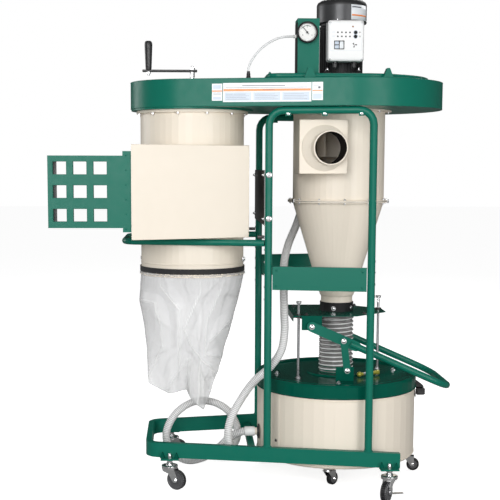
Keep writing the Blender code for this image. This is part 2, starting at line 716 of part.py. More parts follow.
def make_bag_band():
    obj = lathe("bag_band", [(0.2023, BAND_Z0), (0.2040, BAND_Z0), (0.2040, BAND_Z1), (0.2023, BAND_Z1)],
                48)
    place(obj, at(CAN_U, 0, 0))
    paint(obj, "black_strap", BLACK, 0.6)


# height, left reach and right reach of the bag about the canister axis
BAG_SHAPE = ((0.8290, -0.2016, 0.2016), (0.8020, -0.2016, 0.2016), (0.7500, -0.2080, 0.1950),
             (0.6900, -0.2100, 0.1790), (0.5750, -0.1920, 0.1510), (0.4930, -0.1830, 0.1260),
             (0.4130, -0.1790, 0.1060), (0.3600, -0.1770, 0.0880), (0.3320, -0.1310, 0.0780),
             (0.2950, -0.0180, 0.0680), (BAG_TIP_Z, 0.0400, 0.0560))


def make_dust_bag():
    sides = 36
    bm = bmesh.new()
    rings = []

    def ring(z, left, right, inset):
        mid = (left + right) / 2
        half = max((right - left) / 2 - inset, 0.0015)
        depth = half if z > 0.70 else half * 0.92
        out = []
        for k in range(sides):
            a = math.tau * k / sides
            out.append(bm.verts.new((mid + half * math.cos(a), depth * math.sin(a), z)))
        return out
    for z, left, right in BAG_SHAPE:
        rings.append(ring(z, left, right, 0.0))
    inner = []
    for z, left, right in BAG_SHAPE[:-2]:
        inner.append(ring(z, left, right, 0.0012))
    for a, b in zip(rings, rings[1:]):
        for k in range(sides):
            j = (k + 1) % sides
            bm.faces.new((a[k], b[k], b[j], a[j]))
    bm.faces.new(rings[-1])
    for a, b in zip(inner, inner[1:]):
        for k in range(sides):
            j = (k + 1) % sides
            bm.faces.new((a[k], a[j], b[j], b[k]))
    bm.faces.new(inner[-1])
    for k in range(sides):
        j = (k + 1) % sides
        bm.faces.new((rings[0][k], rings[0][j], inner[0][j], inner[0][k]))
    obj = from_bmesh("dust_bag", bm)
    place(obj, at(CAN_U, 0, 0))
    paint(obj, "clear_film", CLEAR, 0.15)


def make_crank():
    shaft = lathe("crank_shaft", [(0, 0.900), (0.0080, 0.900), (0.0080, 1.5500), (0.0095, 1.5510),
                                  (0.0095, 1.5705), (0, 1.5705)], 16)
    place(shaft, at(CAN_U, 0, 0))
    paddle = box("crank_paddle", (-0.140, -0.0010, 0.920), (0.140, 0.0010, 1.380), coll=cutters)
    boolean(shaft, place(paddle, at(CAN_U, 0, 0)), "UNION")
    paint(shaft, "steel", STEEL, 0.3, 1.0)
    arm = box("crank_arm", (CX + CAN_U - 0.1905, CY - 0.0120, 1.5708), (CX + CAN_U + 0.0190, CY + 0.0120,
                                                                        1.5790),
              0.0015, 1)
    paint(arm, "black_paint", BLACK, 0.5)
    grip = lathe("crank_grip", [(0, 1.5793), (0.0105, 1.5793), (0.0115, 1.5850), (0.0148, 1.6700),
                                (0.0135, 1.6820), (0.0090, 1.6870), (0, 1.6870)], 20)
    place(grip, at(CAN_U - CRANK_ARM, 0, 0))
    paint(grip, "black_plastic", BLACK, 0.4)


# ---------------------------------------------------------------- cyclone side
def inlet_room(name):
    return box(name, (CX - CYC_R + 0.0028, CY + INLET_Y + 0.003, INLET_Z0 + 0.003),
               (CX - 0.0045, CY - 0.060, INLET_Z1 - 0.003), coll=cutters)


def make_cyclone():
    r = CYC_R
    t = 0.002
    top = HOUSING_Z0 - GAP
    body = lathe("cyclone_body", [(r - t, CYC_Z0), (CYC_FLANGE_R, CYC_Z0), (CYC_FLANGE_R, CYC_Z0 + 0.0045),
                                  (r, CYC_Z0 + 0.0045), (r, top), (0.0840, top), (0.0840, 1.250),
                                  (0.0860, 1.250), (0.0860, top - t), (r - t, top - t)], 48)
    place(body, at(0, 0, 0))
    boolean(body, inlet_room("body_window"))
    paint(body, "beige_paint", BEIGE, 0.45)
    z = CONE_Z1
    cone = lathe("cyclone_cone", [(r - t, z), (CYC_FLANGE_R, z), (CYC_FLANGE_R, z - 0.0045),
                                  (r + 0.0002, z - 0.0045),
                                  (0.0665, 0.7150), (CONE_OUT_R, 0.7080), (CONE_OUT_R, CONE_OUT_Z),
                                  (CONE_OUT_R - t, CONE_OUT_Z), (CONE_OUT_R - t, 0.7085),
                                  (0.0640, 0.7155)], 48)
    place(cone, at(0, 0, 0))
    paint(cone, "beige_paint", BEIGE, 0.45)
    cuff = lathe("outlet_cuff", [(CONE_OUT_R + 0.0006, CUFF_Z0), (0.0655, CUFF_Z0),
                                 (0.0655, CUFF_Z1 - 0.002),
                                 (0.0640, CUFF_Z1), (CONE_OUT_R + 0.0006, CUFF_Z1)], 32)
    place(cuff, at(0, 0, 0))
    paint(cuff, "black_rubber", BLACK, 0.6)


def make_inlet():
    obj = box("inlet_box", (CX - CYC_R - 0.0002, CY + INLET_Y, INLET_Z0), (CX - 0.0010, CY - 0.060,
                                                                           INLET_Z1))
    boolean(obj, inlet_room("inlet_room"))
    saddle = lathe("inlet_saddle", [(0, 1.00), (CYC_R + 0.0008, 1.00), (CYC_R + 0.0008, 1.42), (0, 1.42)],
                   48)
    boolean(obj, place(saddle, at(0, 0, 0)))
    hole = lathe("inlet_hole", [(0, -0.02), (0.0590, -0.02), (0.0590, 0.02), (0, 0.02)], 40)
    centre_z = 1.2800
    boolean(obj, place(hole, at(COLLAR_U, INLET_Y, centre_z) @ aim((0, -1, 0))))
    paint(obj, "beige_paint", BEIGE, 0.45)
    length = INLET_Y - COLLAR_Y
    ring = lathe("inlet_collar", [(0.0585, GAP), (0.0830, GAP), (0.0830, 0.0050), (0.0640, 0.0200),
                                  (COLLAR_R, 0.0220), (COLLAR_R, length), (0.0585, length)], 36)
    shear = Matrix.Identity(4)
    shear[0][2] = 0.42
    turn = aim((0, -1, 0))
    lean = Matrix.Identity(4)
    lean[0][1] = -0.42
    place(ring, at(COLLAR_U, INLET_Y, centre_z) @ lean @ turn)
    paint(ring, "beige_paint", BEIGE, 0.45)


COLLAR_U = -0.0860


def make_flex_hose():
    z0 = LID_Z1 + 0.0018
    z1 = CUFF_Z0 - GAP
    obj = lathe("flex_hose", [(0.0648, z0), (0.0668, z0), (0.0668, z1), (0.0648, z1)], 36)
    place(obj, at(0, 0, 0))
    paint(obj, "clear_hose", CLEAR, 0.15)


# ---------------------------------------------------------------- lid lift
RODS = ((-0.1650, -0.1550), (0.1710, 0.0300))


def make_lift_plate():
    half = 0.172
    outline = [(-0.186, -half), (0.055, -half), (0.186, -0.050), (0.186, 0.050), (0.055, half),
               (-0.186, half)]
    obj = prism("lift_plate", [(CX + u, CY + v) for u, v in outline], PLATE_Z0, PLATE_Z1)
    hole = lathe("plate_hole", [(0, 0.60), (0.0659, 0.60), (0.0659, 0.70), (0, 0.70)], 40)
    boolean(obj, place(hole, at(0, 0, 0)))
    for i, (u, v) in enumerate(RODS):
        rod_hole = lathe("rod_hole_%d" % i, [(0, 0.60), (0.0072, 0.60), (0.0072, 0.70), (0, 0.70)], 16)
        boolean(obj, place(rod_hole, at(u, v, 0)))
    for i, sign in enumerate((-1, 1)):
        tab = box("pivot_tab_%d" % i, (CX - 0.1545, min(CY + sign * half, CY + sign * (half - 0.004)),
                                       0.5960),
                  (CX - 0.0780, max(CY + sign * half, CY + sign * (half - 0.004)), PLATE_Z1 - 0.0004),
                  coll=cutters)
        boolean(obj, tab, "UNION")
    lip = box("plate_lip", (CX - 0.1856, CY - 0.140, 0.6250), (CX - 0.1830, CY + 0.140, PLATE_Z1 - 0.0004),
              coll=cutters)
    boolean(obj, lip, "UNION")
    paint(obj, "green_paint", GREEN, 0.4)


def flat_link(name, a, b, width, y0, y1, coll=None):
    pa = Vector((a[0], 0, a[1]))
    pb = Vector((b[0], 0, b[1]))
    along = (pb - pa).normalized()
    base = math.degrees(math.atan2(along.z, along.x))
    r = width / 2
    outline = arc(pa.x, pa.z, r, base + 90, base + 270, 10) + arc(pb.x, pb.z, r, base - 90, base + 90, 10)
    bm = bmesh.new()
    near = [bm.verts.new((CX + x, CY + y0, z)) for x, z in outline]
    far = [bm.verts.new((CX + x, CY + y1, z)) for x, z in outline]
    bm.faces.new(near)
    bm.faces.new(list(reversed(far)))
    for k in range(len(outline)):
        j = (k + 1) % len(outline)
        bm.faces.new((near[j], near[k], far[k], far[j]))
    return from_bmesh(name, bm, coll)


def make_lift_lever():
    lift = math.atan2(NOSE_Z - PIVOT_Z, NOSE_U - PIVOT_U)
    start = (PIVOT_U + LEVER_TUBE_IN * math.cos(lift), PIVOT_Z + LEVER_TUBE_IN * math.sin(lift))
    y = ARM_Y
    pts = fillet([(start[0], -y, start[1]), (NOSE_U, -y, NOSE_Z), (NOSE_U, y, NOSE_Z),
                  (start[0], y, start[1])],
                 [LEVER_BEND, LEVER_BEND], 8)
    obj = tube("lift_lever", [p + Vector((CX, CY, 0)) for p in pts], LEVER_R, 12)
    far = (PIVOT_U + LEVER_ARM_OUT * math.cos(lift), PIVOT_Z + LEVER_ARM_OUT * math.sin(lift))
    for i, sign in enumerate((-1, 1)):
        y0 = sign * ARM_Y - ARM_T / 2
        arm = flat_link("lever_arm_%d" % i, (PIVOT_U, PIVOT_Z), far, 0.038, y0, y0 + ARM_T, coll=cutters)
        boolean(obj, arm, "UNION")
    paint(obj, "green_paint", GREEN, 0.4)


def make_links():
    for name, sign in (("link_front", -1), ("link_rear", 1)):
        inner = sign * (ARM_Y + ARM_T / 2 + GAP)
        outer = inner + sign * 0.0045
        obj = flat_link(name, (LINK_U, LINK_Z), (LUG_U, LUG_Z), 0.027, min(inner, outer), max(inner, outer))
        paint(obj, "green_paint", GREEN, 0.4)


def make_drum_lid():
    obj = lathe("drum_lid", [(0.3060, DRUM_Z1 + GAP), (LID_R, DRUM_Z1 + GAP), (LID_R, LID_Z1 - 0.006),
                             (LID_R - 0.006, LID_Z1), (0.2920, LID_Z1), (0.2860, LID_Z1 - 0.006),
                             (0.1150, LID_Z1 - 0.006), (0.1100, LID_Z1), (0.0635, LID_Z1),
                             (0.0635, LID_COLLAR_Z),
                             (0.0610, LID_COLLAR_Z), (0.0610, LID_Z1 - 0.009), (0.3060, LID_Z1 - 0.009)],
                             48)
    place(obj, at(0, 0, 0))
    for i, sign in enumerate((-1, 1)):
        y_out = ARM_Y + ARM_T / 2 - GAP
        y_in = y_out - 0.004
        lo = min(sign * y_out, sign * y_in)
        hi = max(sign * y_out, sign * y_in)
        lug = box("lid_lug_%d" % i, (CX - 0.024, CY + lo, LID_Z1 - 0.008), (CX + 0.044, CY + hi, 0.4560),
                  coll=cutters)
        boolean(obj, lug, "UNION")
    paint(obj, "green_paint", GREEN, 0.35)


def make_guide_rods():
    for name, (u, v) in zip(("guide_rod_left", "guide_rod_right"), RODS):
        z0 = LID_Z1 - 0.006 + GAP
        obj = lathe(name, [(0, z0), (0.0110, z0), (0.0110, z0 + 0.006), (0.0050, z0 + 0.006),
                           (0.0050, 0.6960),
                           (0.0095, 0.6960), (0.0095, 0.7020), (0, 0.7020)], 14)
        place(obj, at(u, v, 0))
        paint(obj, "steel", STEEL, 0.3, 1.0)


# ---------------------------------------------------------------- drum
PORT = (-0.3355, -0.0500, 0.1770)


def make_drum():
    r = DRUM_R
    t = 0.002
    obj = lathe("collection_drum", [(0, DRUM_Z0), (r - 0.006, DRUM_Z0), (r, DRUM_Z0 + 0.006),
                                    (r, DRUM_Z1 - 0.008),
                                    (r + 0.0018, DRUM_Z1 - 0.006), (r + 0.0018, DRUM_Z1),
                                    (r - t - 0.001, DRUM_Z1),
                                    (r - t, DRUM_Z1 - 0.006), (r - t, DRUM_Z0 + 0.008),
                                    (r - 0.010, DRUM_Z0 + t),
                                    (0, DRUM_Z0 + t)], 48)
    place(obj, at(0, 0, 0))
    stub = lathe("drum_port", [(0, 0), (0.0145, 0), (0.0145, 0.0300), (0, 0.0300)], 16)
    boolean(obj, place(stub, at(PORT[0], PORT[1], PORT[2]) @ aim((1, 0, 0))), "UNION")
    paint(obj, "beige_paint", BEIGE, 0.45)
    latch = box("drum_latch", (CX + 0.3156, CY - 0.0460, 0.3170), (CX + 0.3500, CY + 0.0060, 0.3450),
                0.005, 2)
    paint(latch, "black_plastic", BLACK, 0.5)


# pivot position and wheel trail of each drum caster
DRUM_CASTERS = (
    ("front", (-0.0525, -0.2020), (0.75, 0.66)),
    ("right", (0.2920, 0.0100), (0.98, -0.20)),
    ("rear", (-0.1700, 0.1900), (-0.45, 0.89)),
)
SMALL_R = 0.0250
SMALL_TRAIL = 0.0260


def make_drum_caster(label, pivot, trail):
    d = Vector((trail[0], trail[1], 0)).normalized()
    yaw = math.atan2(d.y, d.x)
    turn = Matrix.Rotation(yaw, 4, "Z")
    base = at(pivot[0], pivot[1], 0)
    fork = box("drum_fork_" + label, (-0.0140, -0.0150, 0.0560), (0.0310, 0.0150, 0.0590), coll=parts)
    king = lathe("drum_king_" + label, [(0, 0.0570), (0.0110, 0.0570), (0.0110, DRUM_Z0 - GAP),
                                        (0, DRUM_Z0 - GAP)], 16)
    boolean(fork, king, "UNION")
    for i, sign in enumerate((-1, 1)):
        y0 = min(sign * 0.0128, sign * 0.0150)
        y1 = max(sign * 0.0128, sign * 0.0150)
        profile = [(-0.0120, 0.0580), (0.0300, 0.0580), (SMALL_TRAIL + 0.0060, 0.0180),
                   (SMALL_TRAIL - 0.0060, 0.0180)]
        cheek = fork_cheek("drum_cheek_%s_%d" % (label, i), profile, y0 + 0.00005, y1 - 0.00005)
        place(cheek, base @ turn)
        boolean(fork, cheek, "UNION")
    place(fork, base @ turn)
    place(king, base @ turn)
    paint(fork, "chrome", STEEL, 0.15, 1.0)
    wheel = lathe("drum_wheel_" + label, [(0, -0.0110), (0.0090, -0.0110), (SMALL_R - 0.002, -0.0090),
                                          (SMALL_R, -0.0070), (SMALL_R, 0.0070), (SMALL_R - 0.002, 0.0090),
                                          (0.0090, 0.0110), (0, 0.0110)], 20)
    place(wheel, base @ turn @ Matrix.Translation((SMALL_TRAIL, 0, SMALL_R)) @ aim((0, 1, 0)))
    paint(wheel, "black_rubber", BLACK, 0.6)


# ---------------------------------------------------------------- vacuum hose
HOSE_TOP = (-0.1000, 0.2400)


def make_vacuum_hose():
    route = [(HOSE_TOP[0], HOSE_TOP[1], 1.4050 - GAP), (HOSE_TOP[0], HOSE_TOP[1], 1.3800),
             (-0.1000, 0.2390, 1.3100), (-0.1030, 0.2280, 1.1900),
             (-0.1150, 0.1980, 1.0700), (-0.1450, 0.1480, 0.9850), (-0.1850, 0.0800, 0.9050),
             (-0.2080, 0.0050, 0.8350), (-0.2150, -0.0650, 0.7500), (-0.2180, -0.1250, 0.6650),
             (-0.2200, -0.1700, 0.5850), (-0.2350, -0.1950, 0.5200), (-0.2750, -0.2000, 0.4620),
             (-0.3350, -0.1750, 0.4000), (-0.3850, -0.1600, 0.3250), (-0.4220, -0.1700, 0.2550),
             (-0.4340, -0.1830, 0.1850), (-0.4280, -0.1620, 0.1050), (-0.4180, -0.1000, 0.0480),
             (-0.4020, -0.0150, 0.0400), (-0.3880, 0.0560, 0.0870), (-0.3880, 0.0850, 0.1650),
             (-0.4250, 0.0900, 0.2290), (-0.4950, 0.0900, 0.2660), (-0.5750, 0.0900, 0.2600),
             (-0.6450, 0.0880, 0.2050), (-0.6750, 0.0850, 0.1250), (-0.6500, 0.0750, 0.0500),
             (-0.5900, 0.0450, 0.0210), (-0.5200, 0.0080, 0.0450), (-0.4650, -0.0250, 0.1050),
             (-0.4100, -0.0460, 0.1600), (-0.3620, PORT[1], PORT[2]), (-0.3490, PORT[1], PORT[2]),
             (PORT[0] - GAP, PORT[1], PORT[2])]
    pts = smooth_path(route, 0.044)
    obj = tube("vacuum_hose", [p + Vector((CX, CY, 0)) for p in pts], HOSE_R, 8, first=(0, 0, -1),
               last=(1, 0, 0))
    paint(obj, "grey_hose", GREY, 0.5)


# ---------------------------------------------------------------- build
make_base_frame()
make_upright("front_upright", -1)
make_upright("rear_upright", 1)
make_cross_panel("front_panel", -1)
make_cross_panel("rear_panel", 1)
make_push_handle()
for caster_name, (cu, cv, ctrail) in zip(CASTER_NAMES, CASTERS):
    make_caster(caster_name, cu, cv, ctrail)
make_brake_pedal()
make_blower_housing()
make_motor_plate()
make_motor()
make_impeller()
make_control_box()
make_buttons()
make_gauge()
make_pressure_line()
make_canister()
make_cartridge()
make_exhaust_box()
make_exhaust_grille()
make_bag_band()
make_dust_bag()
make_crank()
make_cyclone()
make_inlet()
make_flex_hose()
make_lift_plate()
make_lift_lever()
make_links()
make_drum_lid()
make_guide_rods()
make_drum()
for drum_label, drum_pivot, drum_trail in DRUM_CASTERS:
    make_drum_caster(drum_label, drum_pivot, drum_trail)
make_vacuum_hose()
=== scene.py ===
"""Cyclone dust collector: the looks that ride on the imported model."""
import json
from math import asin, atan, atan2, cos, hypot, pi, radians, remainder, sin, sqrt, tau

import bmesh
import bpy
from mathutils import Matrix, Vector, noise
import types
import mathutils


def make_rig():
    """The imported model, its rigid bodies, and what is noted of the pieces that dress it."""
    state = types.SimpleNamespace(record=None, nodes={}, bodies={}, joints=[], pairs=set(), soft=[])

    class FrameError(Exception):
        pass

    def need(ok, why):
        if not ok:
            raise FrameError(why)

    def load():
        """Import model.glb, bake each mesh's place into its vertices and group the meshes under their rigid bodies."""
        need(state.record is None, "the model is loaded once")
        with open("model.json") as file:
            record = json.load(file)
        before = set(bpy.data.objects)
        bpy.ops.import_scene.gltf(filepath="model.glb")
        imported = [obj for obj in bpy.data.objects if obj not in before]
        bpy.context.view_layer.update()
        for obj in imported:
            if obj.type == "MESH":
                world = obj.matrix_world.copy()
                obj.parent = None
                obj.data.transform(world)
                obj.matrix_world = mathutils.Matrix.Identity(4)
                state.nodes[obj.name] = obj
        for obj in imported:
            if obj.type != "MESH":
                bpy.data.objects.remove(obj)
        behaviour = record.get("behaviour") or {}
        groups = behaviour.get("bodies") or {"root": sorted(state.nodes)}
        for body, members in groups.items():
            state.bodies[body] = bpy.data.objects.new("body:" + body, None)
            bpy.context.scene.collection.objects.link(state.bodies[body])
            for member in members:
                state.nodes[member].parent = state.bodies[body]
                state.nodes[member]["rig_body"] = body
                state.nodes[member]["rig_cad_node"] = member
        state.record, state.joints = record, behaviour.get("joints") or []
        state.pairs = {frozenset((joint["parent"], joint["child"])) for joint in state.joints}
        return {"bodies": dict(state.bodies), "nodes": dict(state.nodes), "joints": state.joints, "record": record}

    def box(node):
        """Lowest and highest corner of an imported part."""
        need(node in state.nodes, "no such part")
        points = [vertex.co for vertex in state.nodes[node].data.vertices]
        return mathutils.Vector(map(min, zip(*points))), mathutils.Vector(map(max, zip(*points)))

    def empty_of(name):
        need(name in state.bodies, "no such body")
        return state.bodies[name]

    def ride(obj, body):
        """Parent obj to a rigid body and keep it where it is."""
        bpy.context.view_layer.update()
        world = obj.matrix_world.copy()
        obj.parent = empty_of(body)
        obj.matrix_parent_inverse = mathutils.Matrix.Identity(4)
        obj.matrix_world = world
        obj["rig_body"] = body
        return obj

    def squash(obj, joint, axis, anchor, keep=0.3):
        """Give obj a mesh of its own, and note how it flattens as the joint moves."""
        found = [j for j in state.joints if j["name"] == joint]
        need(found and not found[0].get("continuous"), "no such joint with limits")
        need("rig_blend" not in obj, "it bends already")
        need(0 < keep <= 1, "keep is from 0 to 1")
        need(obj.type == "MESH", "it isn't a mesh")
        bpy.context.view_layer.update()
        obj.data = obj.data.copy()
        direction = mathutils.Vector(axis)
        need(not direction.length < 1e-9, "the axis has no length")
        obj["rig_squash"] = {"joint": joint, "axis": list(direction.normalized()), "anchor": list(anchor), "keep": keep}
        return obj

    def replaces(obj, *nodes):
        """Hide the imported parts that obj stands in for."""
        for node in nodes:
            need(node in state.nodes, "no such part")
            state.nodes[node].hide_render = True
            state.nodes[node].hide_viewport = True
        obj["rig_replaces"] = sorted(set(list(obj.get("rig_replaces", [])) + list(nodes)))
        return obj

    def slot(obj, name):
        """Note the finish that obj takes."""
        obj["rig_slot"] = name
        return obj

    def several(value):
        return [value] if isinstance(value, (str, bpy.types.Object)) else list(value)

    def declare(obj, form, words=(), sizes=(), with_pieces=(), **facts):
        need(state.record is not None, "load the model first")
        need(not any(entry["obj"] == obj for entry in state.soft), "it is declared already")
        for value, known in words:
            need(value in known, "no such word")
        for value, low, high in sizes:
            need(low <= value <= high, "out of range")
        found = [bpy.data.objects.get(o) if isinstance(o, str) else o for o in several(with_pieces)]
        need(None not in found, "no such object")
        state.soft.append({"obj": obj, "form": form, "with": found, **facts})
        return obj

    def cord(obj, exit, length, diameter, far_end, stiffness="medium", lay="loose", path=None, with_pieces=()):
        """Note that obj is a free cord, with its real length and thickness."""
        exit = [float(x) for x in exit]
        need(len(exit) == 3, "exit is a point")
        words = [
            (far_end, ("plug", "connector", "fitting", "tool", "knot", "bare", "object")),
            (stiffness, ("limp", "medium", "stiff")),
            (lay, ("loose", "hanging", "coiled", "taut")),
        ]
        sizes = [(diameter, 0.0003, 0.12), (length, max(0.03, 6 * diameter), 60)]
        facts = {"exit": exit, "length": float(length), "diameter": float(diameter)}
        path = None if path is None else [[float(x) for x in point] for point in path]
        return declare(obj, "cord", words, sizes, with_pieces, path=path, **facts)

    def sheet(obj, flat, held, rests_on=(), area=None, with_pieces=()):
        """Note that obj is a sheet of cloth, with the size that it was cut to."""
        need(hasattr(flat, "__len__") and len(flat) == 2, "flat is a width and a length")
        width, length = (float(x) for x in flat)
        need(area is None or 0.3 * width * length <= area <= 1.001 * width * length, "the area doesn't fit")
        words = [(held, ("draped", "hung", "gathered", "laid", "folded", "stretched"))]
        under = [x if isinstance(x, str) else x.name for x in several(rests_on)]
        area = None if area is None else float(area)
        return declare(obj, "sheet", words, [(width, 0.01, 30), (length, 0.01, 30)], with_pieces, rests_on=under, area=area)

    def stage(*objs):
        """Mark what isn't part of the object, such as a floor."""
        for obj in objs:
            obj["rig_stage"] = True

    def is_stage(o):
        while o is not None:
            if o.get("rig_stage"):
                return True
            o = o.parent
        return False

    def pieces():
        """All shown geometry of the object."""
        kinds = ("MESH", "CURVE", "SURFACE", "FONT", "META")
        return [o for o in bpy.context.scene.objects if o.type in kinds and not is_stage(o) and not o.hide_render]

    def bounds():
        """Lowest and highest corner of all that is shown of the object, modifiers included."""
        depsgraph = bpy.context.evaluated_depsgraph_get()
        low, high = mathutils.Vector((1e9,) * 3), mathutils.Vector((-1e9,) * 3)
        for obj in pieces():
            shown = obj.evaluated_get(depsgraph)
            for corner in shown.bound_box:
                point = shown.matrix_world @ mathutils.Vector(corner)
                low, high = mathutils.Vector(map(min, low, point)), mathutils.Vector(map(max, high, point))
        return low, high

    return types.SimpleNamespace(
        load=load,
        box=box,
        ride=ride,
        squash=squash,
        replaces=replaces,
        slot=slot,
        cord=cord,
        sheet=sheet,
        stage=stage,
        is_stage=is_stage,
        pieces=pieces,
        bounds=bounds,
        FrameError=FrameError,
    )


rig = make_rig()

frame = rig.load()
NODE = frame["nodes"]
CAD_BOX = [list(corner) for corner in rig.bounds()]
SIZE_FILE = "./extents.json"
scene = bpy.context.scene

# ------------------------------------------------------------ dimensions shared with the frame (metres)
CX = 0.32335                  # cyclone, drum and motor axis
CAN_U = -0.5676               # canister axis, from the cyclone axis
MOTOR_U = 0.004
FRAME_W0, FRAME_T = 0.344, 0.2022
POST_UL, POST_UR, POST_R = -0.291, 0.0766, 0.014
RAIL_Z0, RAIL_Z1 = 0.1152, 0.171
HOUSING_Z0, HOUSING_Z1 = 1.4274, 1.5276
HOUSING_RL, HOUSING_RR, HOUSING_UR = 0.2357, 0.3563, 0.0349
PLATE_TOP = 1.5452
MOTOR_TOP, MACHINE_TOP = 1.7537, 1.839
CAN_R, CAN_FLANGE_R, CAN_TOP = 0.1992, 0.2135, 1.4209
BOX_TURN = radians(20.0)
CYC_R, JOINT_Z = 0.1764, 1.0812
DRUM_R = 0.3107
ARM_FACE = 0.1874             # outer face of the lift links, either side
WHEEL_R, WHEEL_TRAIL = 0.0375, 0.03
SMALL_R, SMALL_TRAIL = 0.025, 0.026
HOSE_R, TUBE_R = 0.0158, 0.004
PORT = (-0.3355, -0.05, 0.177)
HOSE_TOP = (-0.1, 0.24, 1.405)
FITTING = (-0.363, -0.2)
GAUGE = (-0.15, -0.2003, 1.697)
GAUGE_PORT = (-0.1837, -0.15, 1.689)
CRANK_ARM = 0.167
BAG_R, FRILL_R = 0.2012, 0.2022
HOUSING_LEAN = asin((HOUSING_RR - HOUSING_RL) / (HOUSING_UR - CAN_U))
RODS = ((-0.165, -0.155), (0.171, 0.03))
COLLAR_LEAN, COLLAR_Y, COLLAR_END = 0.42, -0.24, -0.285
CONTROL_Y = -0.1475


def side_y(u):
    """Half width of the tapered base frame at u."""
    return FRAME_W0 + FRAME_T * u


def at(u, v, z):
    """A place u to the right of the cyclone axis and v behind it."""
    return Matrix.Translation((CX + u, v, z))


def shift(x, y, z):
    return Matrix.Translation((x, y, z))


def spin(angle):
    return Matrix.Rotation(angle, 4, "Z")


def around(u, r, angle, z):
    """A place at radius r from the upright axis at u."""
    return at(u + r * cos(angle), r * sin(angle), z)


FLIP = Matrix.Rotation(pi, 4, "X")
STAND = Matrix.Rotation(pi / 2, 4, "X")     # local y points up, local z to the front


def aim(direction):
    """Turns the local z axis to a direction."""
    return Vector((0, 0, 1)).rotation_difference(Vector(direction).normalized()).to_matrix().to_4x4()


# ------------------------------------------------------------ camera
CAMERA_AT = (-0.2606, -4.2073, 1.2066)
CAMERA_YAW, CAMERA_PITCH, CAMERA_ROLL = 0.0335, 0.1138, 0.0023
CAMERA_LENS, CAMERA_SHIFT = 77.73, (0.0515, 0.0826)


def make_camera():
    """The photo's camera, solved from points on the machine."""
    yaw, pitch, roll = CAMERA_YAW, CAMERA_PITCH, CAMERA_ROLL
    flat = Vector((sin(yaw), cos(yaw), 0))
    right = Vector((cos(yaw), -sin(yaw), 0))
    ahead = flat * cos(pitch) - Vector((0, 0, sin(pitch)))
    up = right.cross(ahead)
    side = right * cos(roll) + up * sin(roll)
    top = up * cos(roll) - right * sin(roll)
    data = bpy.data.cameras.new("camera")
    data.lens = CAMERA_LENS
    data.sensor_width = 36.0
    data.shift_x, data.shift_y = CAMERA_SHIFT
    data.clip_start = 0.05
    data.clip_end = 200.0
    cam = bpy.data.objects.new("camera", data)
    turn = Matrix((side, top, -ahead)).transposed()
    cam.matrix_world = shift(*CAMERA_AT) @ turn.to_4x4()
    scene.collection.objects.link(cam)
    scene.camera = cam


make_camera()


# ------------------------------------------------------------ materials
def wire(nt, a, b):
    nt.links.new(a, b)


def fill(nt, made, inputs):
    """Sets each input of a node to a value, or wires it to a socket."""
    for key, value in inputs.items():
        if isinstance(value, bpy.types.NodeSocket):
            wire(nt, value, made.inputs[key])
        else:
            made.inputs[key].default_value = value


def node(nt, kind, inputs=None):
    made = nt.nodes.new("ShaderNode" + kind)
    fill(nt, made, inputs or {})
    return made


def finish(name, colour, rough, metal=0.0, drift=0.05, clouds=6.0, grain=400.0, height=0.00008, spread=0.05,
           coat=0.0, stretch=(1, 1, 1), specular=0.5, alpha=None, bump=0.35):
    """Paint, plastic or metal: slow colour drift, uneven gloss and a fine surface grain."""
    mat = bpy.data.materials.new(name)
    mat.use_nodes = True
    nt = mat.node_tree
    bsdf = nt.nodes["Principled BSDF"]
    place = node(nt, "TexCoord")
    mapping = node(nt, "Mapping", {"Scale": stretch, "Vector": place.outputs["Object"]})

    def cloud(scale, detail):
        noisy = node(nt, "TexNoise", {"Scale": scale, "Detail": detail,
                                      "Vector": mapping.outputs["Vector"]})
        return noisy.outputs["Fac"]

    tone = node(nt, "Mix")
    tone.data_type = "RGBA"
    fill(nt, tone, {"A": [c * (1 - drift) for c in colour] + [1],
                    "B": [min(1.0, c * (1 + drift)) for c in colour] + [1], "Factor": cloud(clouds, 4.0)})
    gloss = node(nt, "MapRange", {"From Min": 0.3, "From Max": 0.7, "To Min": max(rough - spread, 0.02),
                                  "To Max": min(rough + spread, 1.0), "Value": cloud(clouds * 6, 3.0)})
    relief = node(nt, "Bump", {"Strength": bump, "Distance": height, "Height": cloud(grain, 2.0)})
    fill(nt, bsdf, {"Metallic": metal, "Specular IOR Level": specular, "Coat Weight": coat,
                    "Coat Roughness": 0.08,
                    "Base Color": tone.outputs["Result"], "Roughness": gloss.outputs["Result"],
                    "Normal": relief.outputs["Normal"]})
    if alpha:
        mat.surface_render_method = "BLENDED"
        edge = node(nt, "LayerWeight", {"Blend": 0.35})
        see = node(nt, "MapRange", {"To Min": alpha[0], "To Max": alpha[1],
                                    "Value": edge.outputs["Facing"]})
        wire(nt, see.outputs["Result"], bsdf.inputs["Alpha"])
    return mat


def woven(name, colour, pitch):
    """Webbing: two crossed sets of threads."""
    mat = finish(name, colour, 0.75, grain=900.0, height=0.0001)
    nt = mat.node_tree
    place = node(nt, "TexCoord")
    both = node(nt, "Math")
    both.operation = "MULTIPLY"
    for n, (axis, turn) in enumerate((("Z", 0.0), ("X", 0.6))):
        bands = node(nt, "TexWave", {"Scale": 0.5 / pitch / pi, "Distortion": turn,
                                     "Vector": place.outputs["Object"]})
        bands.bands_direction = axis
        wire(nt, bands.outputs["Fac"], both.inputs[n])
    relief = node(nt, "Bump", {"Strength": 0.6, "Distance": 0.0006, "Height": both.outputs[0]})
    wire(nt, relief.outputs["Normal"], nt.nodes["Principled BSDF"].inputs["Normal"])
    return mat


